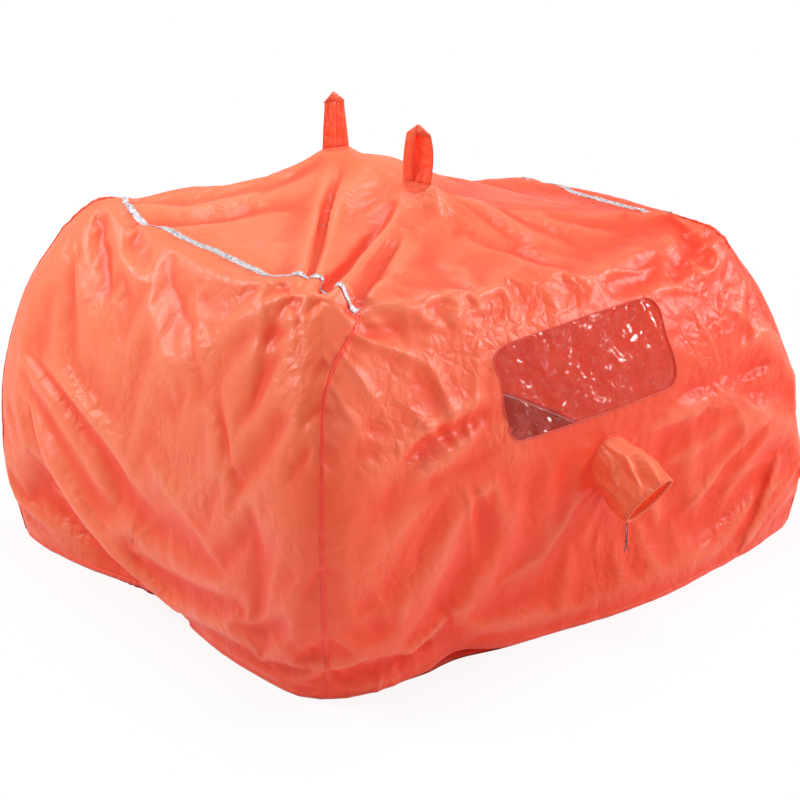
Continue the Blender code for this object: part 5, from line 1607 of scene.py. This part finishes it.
def seat_cloth(name, side):
    """A sheet with a slight crumple and rounded inner corners, 1.4 mm thick."""
    hinge_x, hinge_y, inward = SEAT_HINGES[side]
    u, v = np.meshgrid(np.linspace(-1, 1, 125), np.linspace(0, 1, 31))
    x, y = u * SEAT_LENGTH / 2, v * SEAT_DEPTH
    beyond_x = np.maximum(np.abs(x) - (SEAT_LENGTH / 2 - SEAT_CORNER), 0.0)
    beyond_y = np.maximum(y - (SEAT_DEPTH - SEAT_CORNER), 0.0)
    both = np.minimum(beyond_x, beyond_y) / SEAT_CORNER
    x = x - np.sign(x) * both * SEAT_CORNER * 0.29
    y = y - both * SEAT_CORNER * 0.29
    lift = (0.0009 + 0.0006 * creases(x / 0.09, y / 0.07, 501)) * smooth_step(0.0, 0.02, v)
    top = np.stack([hinge_x + x, hinge_y + inward * y, 0.0016 + lift], -1)
    bottom = top.copy()
    bottom[..., 2] = np.maximum(bottom[..., 2] - SEAT_THICK, 0.0002)
    return thick_sheet(name, top, bottom, SEAT_NYLON)


print("seat, cut to:", (SEAT_LENGTH, SEAT_DEPTH))

# %% [markdown]
# The free edges of a seat are bound with a folded tape, or they would fray. It is the same
# kind of tape as the seams', swept round the three free sides with arcs at the corners. A seat
# and its binding ride the same body, so they fold up together.

# %% Seats and their bindings
BINDING_INSET, BINDING_HEIGHT = 0.003, 0.0021
BINDING_PROFILE = ((-3.2, -1.7), (-3.2, 1.5), (-1.6, 2.0), (1.6, 2.0), (3.2, 1.5), (3.2, -1.7))


def binding_line(side):
    """Round the three free edges of a seat, from hinge to hinge."""
    hinge_x, hinge_y, inward = SEAT_HINGES[side]
    half, deep, corner = SEAT_LENGTH / 2 - BINDING_INSET, SEAT_DEPTH - BINDING_INSET, SEAT_CORNER
    arc = np.linspace(0.0, math.pi / 2, 10)[1:]
    path = [(-half, y) for y in np.linspace(0.004, deep - corner, 24)]
    path += [(-half + corner - corner * math.cos(t), deep - corner + corner * math.sin(t)) for t in arc]
    path += [(x, deep) for x in np.linspace(-half + corner, half - corner, 90)[1:]]
    path += [(half - corner + corner * math.sin(t), deep - corner + corner * math.cos(t)) for t in arc]
    path += [(half, y) for y in np.linspace(deep - corner, 0.004, 24)[1:]]
    return np.array([(hinge_x + x, hinge_y + inward * y, BINDING_HEIGHT) for x, y in path])


seats, binding_lines = {}, {}
for side in SEAT_HINGES:
    seat, path = seat_cloth(side + "_seat_cloth", side), binding_line(side)
    upright = np.tile([0.0, 0.0, 1.0], (len(path), 1))
    binding = sweep(side + "_seat_binding", path, upright, BINDING_PROFILE, SEAM_NYLON)
    settle_on(seat, side + "_seat", "seat_cloth", side + "_seat")
    settle_on(binding, side + "_seat", "seam_tape", side + "_seat_tape")
    seats[side], binding_lines[side] = seat, path
    print(side, "seat:", [round(size, 3) for size in seat.dimensions],
          "binding:", round(line_length(path), 3))

# %% [markdown]
# Between a seat and its hem lies a narrow strip of the same cloth. One of its edges follows
# the hem, which strays on the floor, and the other one is the straight line that the seat
# folds about. So each row of its corners is read between those two lines.

# %% Strips that join the seats to the hem
STRIP_HALF, STRIP_THICK = 0.618, 0.0006
seat_strips, strip_sizes, strip_areas = {}, {}, {}
for side, (hinge_x, hinge_y, inward) in SEAT_HINGES.items():
    x = np.linspace(hinge_x - STRIP_HALF, hinge_x + STRIP_HALF, 120)
    hem = hem_lines[side][np.argsort(hem_lines[side][:, 0])]
    hem_y = np.interp(x, hem[:, 0], hem[:, 1]) + inward * 0.0036
    share = np.linspace(0.0, 1.0, 5)
    y = hem_y[None] + (hinge_y - inward * 0.0004 - hem_y[None]) * share[:, None]
    z = 0.0010 + 0.0003 * np.sin(x * 90.0)[None] * np.sin(math.pi * share)[:, None]
    top = np.stack([np.broadcast_to(x, y.shape), y, z], -1)
    strip = thick_sheet(side + "_seat_gusset_cloth", top, top - (0.0, 0.0, STRIP_THICK), SEAT_NYLON)
    settle_on(strip, "canopy", "seat_cloth", side + "_seat_gusset")
    wide = np.abs(y[-1] - y[0])
    seat_strips[side] = strip
    strip_sizes[side] = (2 * STRIP_HALF, float(wide.max()))
    strip_areas[side] = float(np.trapz(wide, x))
    print(side, "strip, at its widest:", round(strip_sizes[side][1], 3), "m")

# %% [markdown]
# The drawcord is a 2.2 mm braided cord, grey with dark flecks. It runs round the mouth inside
# the casing, and both ends come out of one eyelet at the lowest side and hang down to a shared
# overhand knot. Plaiting it strand by strand would cost thousands of faces for a few pixels,
# so the flecks and the relief of the braid are drawn by one cell texture.

# %% Braided cord
def braided_cord(name):
    """Polyester braid: matt, grey with dark flecks as long as one plait."""
    material, tree, place = new_finish(name)
    fleck = add_node(tree, "TexVoronoi", Vector=place, Scale=620.0, Randomness=1.0)
    ramp = add_node(tree, "ValToRGB", i0=fleck.outputs["Distance"])
    ramp.color_ramp.elements[0].position, ramp.color_ramp.elements[0].color = 0.30, linear("#8B878C")
    ramp.color_ramp.elements[1].position, ramp.color_ramp.elements[1].color = 0.55, linear("#38333A")
    plait = add_bump(tree, fleck.outputs["Distance"], 0.8, 0.0004)
    shader = add_node(tree, "BsdfPrincipled", Base_Color=ramp, Roughness=0.82, Normal=plait)
    add_node(tree, "OutputMaterial", Surface=shader)
    return material


BRAID = braided_cord("braided_polyester_cord")
print("material:", BRAID.name)

# %% [markdown]
# A strand's route is the fixed model's, stop for stop, with one smooth curve through it. Both
# the strands and the knot are round tubes. A knot turns every way, so its tube can't be held
# by one fixed direction as a tape is: each ring's sides are carried over from the last ring
# and turned no more than the route turns, which keeps the tube from twisting.

# %% Routes and round tubes
CORD_RADIUS, CORD_SIDES, STEPS_BETWEEN_STOPS = 0.0011, 12, 6
STRANDS = {
    "left": ((0.00050, -0.68239, 0.28918), (-0.00014, -0.68052, 0.28355), (-0.00153, -0.67903, 0.27284),
             (-0.00066, -0.67884, 0.25755), (0.00162, -0.67865, 0.24841), (0.00202, -0.67865, 0.23841)),
    "right": ((0.00330, -0.68239, 0.28918), (0.00346, -0.68052, 0.28355), (0.00447, -0.67903, 0.27284),
              (0.00574, -0.67884, 0.25755), (0.00522, -0.67865, 0.24841), (0.00482, -0.67865, 0.23841))}
around = np.linspace(0, math.tau, CORD_SIDES, endpoint=False)
circle = np.stack([np.cos(around), np.sin(around)], -1) * CORD_RADIUS


def smooth_route(stops):
    """One smooth curve through a route's own points."""
    stops = np.array(stops)
    padded = np.vstack([stops[:1], stops, stops[-1:]])
    points = []
    for k in range(1, len(padded) - 2):
        for t in np.arange(STEPS_BETWEEN_STOPS) / STEPS_BETWEEN_STOPS:
            points.append(smooth_between(*padded[k - 1:k + 3], t))
    return np.array(points + [stops[-1]])


def tube_rings(route):
    """Rings of corners round a route that turns every way."""
    ahead = unit(np.gradient(route, axis=0))
    side = np.cross(ahead[0], [0.0, 1.0, 0.0])
    sides = []
    for direction in ahead:
        side = unit(side - direction * (side @ direction))
        sides.append(side)
    sides, other = np.array(sides), np.cross(ahead, sides)
    return route[:, None] + sides[:, None] * circle[None, :, :1] + other[:, None] * circle[None, :, 1:]


print("stops of a strand:", len(STRANDS["left"]), "points of its curve:", len(smooth_route(STRANDS["left"])))

# %% [markdown]
# Both cord ends are tied in one overhand knot. Each makes one turn round the other, so one
# route serves twice, the second time turned by half a circle about the upright, and its tail
# hangs free below. The stops are in millimetres from the knot's middle.

# %% The knot and its tails
KNOT_MIDDLE = np.array((0.003417, -0.678652, 0.233915))
KNOT_TURN = ((-1.4, 0.0, 4.5), (-1.0, 0.4, 3.0), (1.3, 1.5, 1.7), (2.5, 0.1, 0.2), (1.3, -2.0, -0.8),
             (-1.3, -2.1, -0.6), (-2.6, -0.1, 0.5), (-1.3, 2.0, 1.0), (1.0, 2.1, -0.4), (1.5, 0.4, -2.0),
             (0.1, -0.3, -3.3), (-1.4, 0.0, -4.6))
TAIL = ((-2.4, 0.0, -11.5), (-4.4, -1.0, -18.5), (-6.6, -2.0, -24.5))
knot_points, knot_faces = [], []
for side in (-1, 1):
    route = [(-side * x, -side * y, z) for x, y, z in KNOT_TURN] + [(-side * x, y, z) for x, y, z in TAIL]
    tube = tube_rings(smooth_route(np.array(route) / 1000 + KNOT_MIDDLE))
    start, last = len(knot_points), len(knot_points) + (len(tube) - 1) * CORD_SIDES
    knot_faces += ring_faces(len(tube), CORD_SIDES, start)
    knot_faces += [tuple(range(start, start + CORD_SIDES))[::-1], tuple(range(last, last + CORD_SIDES))]
    knot_points += tube.reshape(-1, 3).tolist()
knot = face_out(add_piece("drawcord_overhand_knot", knot_points, knot_faces, BRAID))
settle_on(knot, "drawcord", "drawcord", "drawcord_knot", "drawcord_tail_left", "drawcord_tail_right")
print("knot and tails:", [round(size, 4) for size in knot.dimensions])

# %% [markdown]
# The two strands run from the sleeve down to the knot. Each is a round tube along its route, in place of the
# fixed model's strand, which is hidden. The loop inside the casing keeps the fixed model's shape and takes
# the braid's finish.

# %% The free strands
for side, stops in STRANDS.items():
    route = smooth_route(stops)
    facing = np.tile([0.05, -1.0, 0.08], (len(route), 1))
    strand = sweep("drawcord_end_" + side, route, facing, circle * 1000, BRAID)
    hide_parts("drawcord_strand_" + side)
    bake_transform(strand)
    print(side, "strand:", round(line_length(route), 4), "m")
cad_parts["drawcord_loop"].data.materials.clear()
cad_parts["drawcord_loop"].data.materials.append(BRAID)

# %% [markdown]
# A shelter is held together by thousands of stitches: two rows along every felled seam, the
# silver tape and the vent's root, one row along the hem, the window, the patches and the
# loops' edges. Each row runs a measured way beside a line that is already there, and just
# above the cloth.

# %% The lines the needle followed
# How far beside its line and how far out of the cloth each kind of row runs, in metres
STRIP_ROW, SEAM_ROW = (0.0064, 0.0009), (0.0040, 0.0013)
ROOT_ROW, EDGE_ROW = (0.0022, 0.0014), (0.0016, 0.0014)
HEM_ROW_OUT, HEM_ROW_UP, BINDING_ROW_UP = 0.0024, 0.0085, 0.0021


def beside_line(path, normals, across, out, closed=False):
    """A line moved sideways and outwards from a path on the cloth, in metres."""
    along = np.roll(path, -1, 0) - np.roll(path, 1, 0) if closed else np.gradient(path, axis=0)
    side = unit(np.cross(normals, along))
    return path + side * across + unit(np.cross(along, side)) * out


def both_sides(path, normals, row, closed=False):
    """Two rows of stitches, as far to the left of a line as to the right."""
    away, out = row
    return [beside_line(path, normals, across, out, closed) for across in (-away, away)]


needle_rows = {"canopy": [], "near_loop": loop_rows["near"], "far_loop": loop_rows["far"]}
for name, (path, normals) in seam_lines.items():
    needle_rows["canopy"] += both_sides(path, normals, STRIP_ROW if name.endswith("strip") else SEAM_ROW)
for side, path in hem_lines.items():
    outside = np.sign(path.mean(0)) * ((0.0, 1.0, 0.0) if side in ("front", "rear") else (1.0, 0.0, 0.0))
    needle_rows["canopy"].append(path + outside * HEM_ROW_OUT + (0.0, 0.0, HEM_ROW_UP))
needle_rows["canopy"].append(beside_line(window_ring, window_normals, *EDGE_ROW, closed=True))
needle_rows["canopy"] += both_sides(root_path, root_normals, ROOT_ROW, closed=True)
needle_rows["canopy"] += patch_rings
for side, path in binding_lines.items():
    needle_rows[side + "_seat"] = [path + (0.0, 0.0, BINDING_ROW_UP)]
print("rows of stitches:", {body: len(rows) for body, rows in needle_rows.items()})

# %% [markdown]
# The thread is twisted polyester, a shade paler than the cloth. A wave texture draws its twist,
# both as a change of colour and as a fine relief.

# %% Thread
def sewing_thread(name, colours):
    """Twisted polyester thread: matt, slightly paler than the cloth, with a fine twist."""
    material, tree, place = new_finish(name)
    twist = add_node(tree, "TexWave", Vector=place, Scale=900.0, Distortion=1.0).outputs["Fac"]
    shader = add_node(tree, "BsdfPrincipled", Roughness=0.62,
                      Base_Color=add_tint(tree, twist, linear(colours[0]), linear(colours[1])),
                      Normal=add_bump(tree, twist, 0.4, 0.0002))
    add_node(tree, "OutputMaterial", Surface=shader)
    return material


THREAD = sewing_thread("twisted_polyester_thread", ("#E8482C", "#FA7350"))
print("thread:", THREAD.name)

# %% [markdown]
# Stitches repeat along lines, so Geometry Nodes sets them: the tree takes the lines, puts
# points on them at the stitch's spacing and stands one small bead of thread on each, turned
# along the line and a little uneven in length. The beads have 20 faces each, since there are
# thousands. Real stitches of this thread are 0.3 mm thick; they are drawn at 0.9 mm, because
# thinner ones would not be seen.

# %% The tree that sews
SEWN = {"Spacing": 0.0036, "Stitch length": 0.0026, "Thread width": 0.0009}
SEED = 7


def sewing_tree():
    """Lines in, a bead of thread at every stitch out."""
    tree = bpy.data.node_groups.new("row_of_stitches", "GeometryNodeTree")
    tree.interface.new_socket("Geometry", in_out="INPUT", socket_type="NodeSocketGeometry")
    for name, value in SEWN.items():
        tree.interface.new_socket(name, in_out="INPUT", socket_type="NodeSocketFloat").default_value = value
    tree.interface.new_socket("Seed", in_out="INPUT", socket_type="NodeSocketInt").default_value = SEED
    tree.interface.new_socket("Thread", in_out="INPUT", socket_type="NodeSocketMaterial")
    tree.interface.new_socket("Geometry", in_out="OUTPUT", socket_type="NodeSocketGeometry")
    given = add_node(tree, "NodeGroupInput")
    lines = add_node(tree, "GeometryNodeMeshToCurve", Mesh=given.outputs["Geometry"])
    points = add_node(tree, "GeometryNodeResampleCurve", {"mode": "LENGTH"}, Curve=lines,
                      Length=given.outputs["Spacing"])
    tangent = add_node(tree, "GeometryNodeInputTangent")
    turned = add_node(tree, "FunctionNodeAlignRotationToVector", {"axis": "X"}, Vector=tangent)
    uneven = add_node(tree, "FunctionNodeRandomValue", {"data_type": "FLOAT"}, Seed=given.outputs["Seed"])
    uneven.inputs[2].default_value, uneven.inputs[3].default_value = 0.86, 1.08
    length = add_math(tree, "MULTIPLY", given.outputs["Stitch length"], uneven.outputs[1])
    size = add_node(tree, "CombineXYZ", X=length, Y=given.outputs["Thread width"],
                    Z=given.outputs["Thread width"])
    bead = add_node(tree, "GeometryNodeMeshIcoSphere", Radius=0.5, Subdivisions=1)
    sewn = add_node(tree, "GeometryNodeInstanceOnPoints", Points=points,
                    Instance=bead.outputs["Mesh"], Rotation=turned, Scale=size)
    real = add_node(tree, "GeometryNodeRealizeInstances", Geometry=sewn)
    dyed = add_node(tree, "GeometryNodeSetMaterial", Geometry=real, Material=given.outputs["Thread"])
    add_node(tree, "NodeGroupOutput", Geometry=dyed)
    return tree


SEWING = sewing_tree()
print("sockets of the tree:", [item.name for item in SEWING.interface.items_tree])

# %% [markdown]
# All rows of one body are handed to the tree as one mesh of lines. Its result is read from the
# evaluated object as a plain mesh, because the export drops instances, and the lines are
# thrown away. There is one such piece for each body, so the stitches move with the cloth.

# %% Sew every row
def sewn_piece(name, rows, values):
    """The stitches of one body as a plain mesh."""
    points, edges = [], []
    for row in rows:
        start, last = len(points), len(points) + len(row) - 1
        points += [tuple(map(float, point)) for point in row]
        edges += [(k, k + 1) for k in range(start, last)]
        if np.linalg.norm(row[0] - row[-1]) < 0.008:
            edges.append((last, start))
    mesh = bpy.data.meshes.new(name + "_lines")
    mesh.from_pydata(points, edges, [])
    lines = bpy.data.objects.new(name + "_lines", mesh)
    bpy.context.scene.collection.objects.link(lines)
    modifier = lines.modifiers.new("sew", "NODES")
    modifier.node_group = SEWING
    for item in SEWING.interface.items_tree:
        if item.item_type == "SOCKET" and item.in_out == "INPUT" and item.name in values:
            modifier[item.identifier] = values[item.name]
    sewn = bpy.data.meshes.new_from_object(lines.evaluated_get(bpy.context.evaluated_depsgraph_get()))
    lines.modifiers.remove(modifier)
    bpy.data.objects.remove(lines, do_unlink=True)
    sewn.name = name
    piece = bpy.data.objects.new(name, sewn)
    bpy.context.scene.collection.objects.link(piece)
    return piece


for body, rows in needle_rows.items():
    stitches = sewn_piece(body + "_stitches", rows, {**SEWN, "Seed": SEED, "Thread": THREAD})
    settle_on(stitches, body, "seam_tape")
    print(body, "stitches:", len(stitches.data.polygons) // 20)

# %% [markdown]
# Last, the finished area of each panel is worked out from its faces and printed. Folds and rumples only add a
# few percent to the area the cloth was cut to.


def face_area(piece):
    """Area of all faces of a piece."""
    return sum(face.area for face in piece.data.polygons)


print("finished areas:", {name: round(face_area(panel), 3) for name, panel in panels.items()})

# %% [markdown]
# Only a count of the sheets is printed here: five for the canopy, and one for each seat, seat strip, loop and
# patch. A size that can't be measured here is the real piece's own.

# %% Count the sheets
print("sheets declared:", 5 + len(seats) + len(seat_strips) + len(loops) + len(patches))

# %% [markdown]
# The lamps are soft squares as big as windows. The two strongest stand behind the left end and
# at the front right: their light slides along the cloth from both sides, which gives the left
# end its pale sheen and shows every fold. One by the camera and one overhead are weaker and
# keep any shadow from going black, and a small low one gives the film its glints.

# %% Lamps
def soft_lamp(name, place, aim, size, power):
    """A square lamp, turned towards a place."""
    lamp = bpy.data.objects.new(name, bpy.data.lights.new(name, "AREA"))
    lamp.data.shape = "SQUARE"
    lamp.data.size = size
    lamp.data.energy = power
    lamp.location = place
    lamp.rotation_euler = (Vector(aim) - Vector(place)).to_track_quat("-Z", "Y").to_euler()
    bpy.context.scene.collection.objects.link(lamp)
    return lamp


lamps = [soft_lamp("window_behind_left", (-2.6, 1.9, 2.5), (-0.3, 0, 0.5), 1.3, 88),
         soft_lamp("window_front_right", (3.0, -2.0, 2.2), (0, -0.3, 0.5), 0.9, 92),
         soft_lamp("window_by_camera", (-0.9, -4.0, 2.7), (0, 0, 0.4), 1.3, 34),
         soft_lamp("ceiling", (0.3, 0.2, 3.4), (0, 0, 0.4), 1.2, 50),
         soft_lamp("small_lamp_low_right", (2.1, -2.9, 0.9), (0, -0.4, 0.6), 0.12, 6)]
print("lamps:", {lamp.name: lamp.data.energy for lamp in lamps})

# %% [markdown]
# The world is plain white to the camera, also through the window's film, but lights the
# scene with only a third of that. The Light Path node tells the two apart. A world as bright
# as it looks would wash the folds out.

# %% White all round
world = bpy.data.worlds.new("studio_white")
bpy.context.scene.world = world
world.use_nodes = True
sky = world.node_tree
sky.nodes.clear()
ray = add_node(sky, "LightPath").outputs
seen = add_math(sky, "MAXIMUM", ray["Is Camera Ray"], ray["Is Transmission Ray"])
fill = add_node(sky, "Background", Color=linear("#FFFFFF"), Strength=0.35)
backdrop = add_node(sky, "Background", Color=linear("#FFFFFF"), Strength=1.0)
either = add_node(sky, "MixShader", i0=seen, i1=fill, i2=backdrop)
add_node(sky, "OutputWorld", Surface=either)
print("world:", world.name)

# %% [markdown]
# The floor is matt white paper. A real studio lights it until it burns out to white. Here the
# camera is shown white there instead, more and more with the distance from the hem, so that
# the paper near the shelter keeps the soft shadow that makes it stand on the ground.

# %% Floor
FLOOR_MIDDLE, FLOOR_HALF = (-0.01, 0.045, 0.0), (0.775, 0.670, 0.0)
paper_material, paper, spot = new_finish("matt_white_paper")
look = add_node(paper, "LightPath").outputs
straight = add_math(paper, "MAXIMUM", look["Is Camera Ray"], look["Is Glossy Ray"])
straight = add_math(paper, "MAXIMUM", straight, look["Is Transmission Ray"])
away = add_node(paper, "VectorMath", {"operation": "SUBTRACT"}, i0=spot, i1=FLOOR_MIDDLE)
away = add_node(paper, "VectorMath", {"operation": "ABSOLUTE"}, i0=away)
away = add_node(paper, "VectorMath", {"operation": "SUBTRACT"}, i0=away, i1=FLOOR_HALF)
away = add_node(paper, "VectorMath", {"operation": "MAXIMUM"}, i0=away, i1=(0.0, 0.0, 0.0))
away = add_node(paper, "VectorMath", {"operation": "LENGTH"}, i0=away).outputs["Value"]
burnt = add_math(paper, "MULTIPLY", faded(paper, away, 0.02, 0.38, To_Min=0.86, To_Max=1.0), straight)
matt = add_node(paper, "BsdfDiffuse", Color=linear("#EDEDED"))
white = add_node(paper, "Emission", Color=linear("#FFFFFF"), Strength=1.0)
shown = add_node(paper, "MixShader", i0=burnt, i1=matt, i2=white)
add_node(paper, "OutputMaterial", Surface=shown)
floor_corners = [(-30, -30, -0.001), (30, -30, -0.001), (30, 30, -0.001), (-30, 30, -0.001)]
floor = add_piece("studio_floor", floor_corners, [(0, 1, 2, 3)], paper_material, smooth=False)
print("floor ready:", floor.name)

# %% [markdown]
# The ground inside the hem is painted shade: it is never burnt out, and shows dull and warm through the
# window, a painted shade in the colour of the light that comes through the cloth. It is a sheet of its own,
# cut along the hem, because the white floor would show through the film there.

# %% Painted shade on the ground inside the hem
GROUND_SHRINK, GROUND_HEIGHT = 0.9995, -0.0006
ring = np.vstack([hem_lines["front"], hem_lines["right"], hem_lines["rear"][::-1], hem_lines["left"][::-1]])
ring = (ring - ring.mean(0)) * GROUND_SHRINK + ring.mean(0)
ring[:, 2] = GROUND_HEIGHT
painted_shade_material, dull, spot = new_finish("shaded_ground")
grain = add_node(dull, "TexNoise", Vector=spot, Scale=9.0)
# Painted shade: a dull warm red with a random grain, for the shaded ground inside the shelter.
painted_shade_colour = add_tint(dull, grain, linear("#8E4636"), linear("#A8503C"))
matt = add_node(dull, "BsdfDiffuse", Color=painted_shade_colour)
add_node(dull, "OutputMaterial", Surface=matt)
inside = add_piece("painted_shade_inside_hem", ring, [tuple(range(len(ring)))], painted_shade_material, smooth=False)
bpy.context.scene.view_settings.view_transform = "Standard"
print("ground ready:", len(ring), "corners")
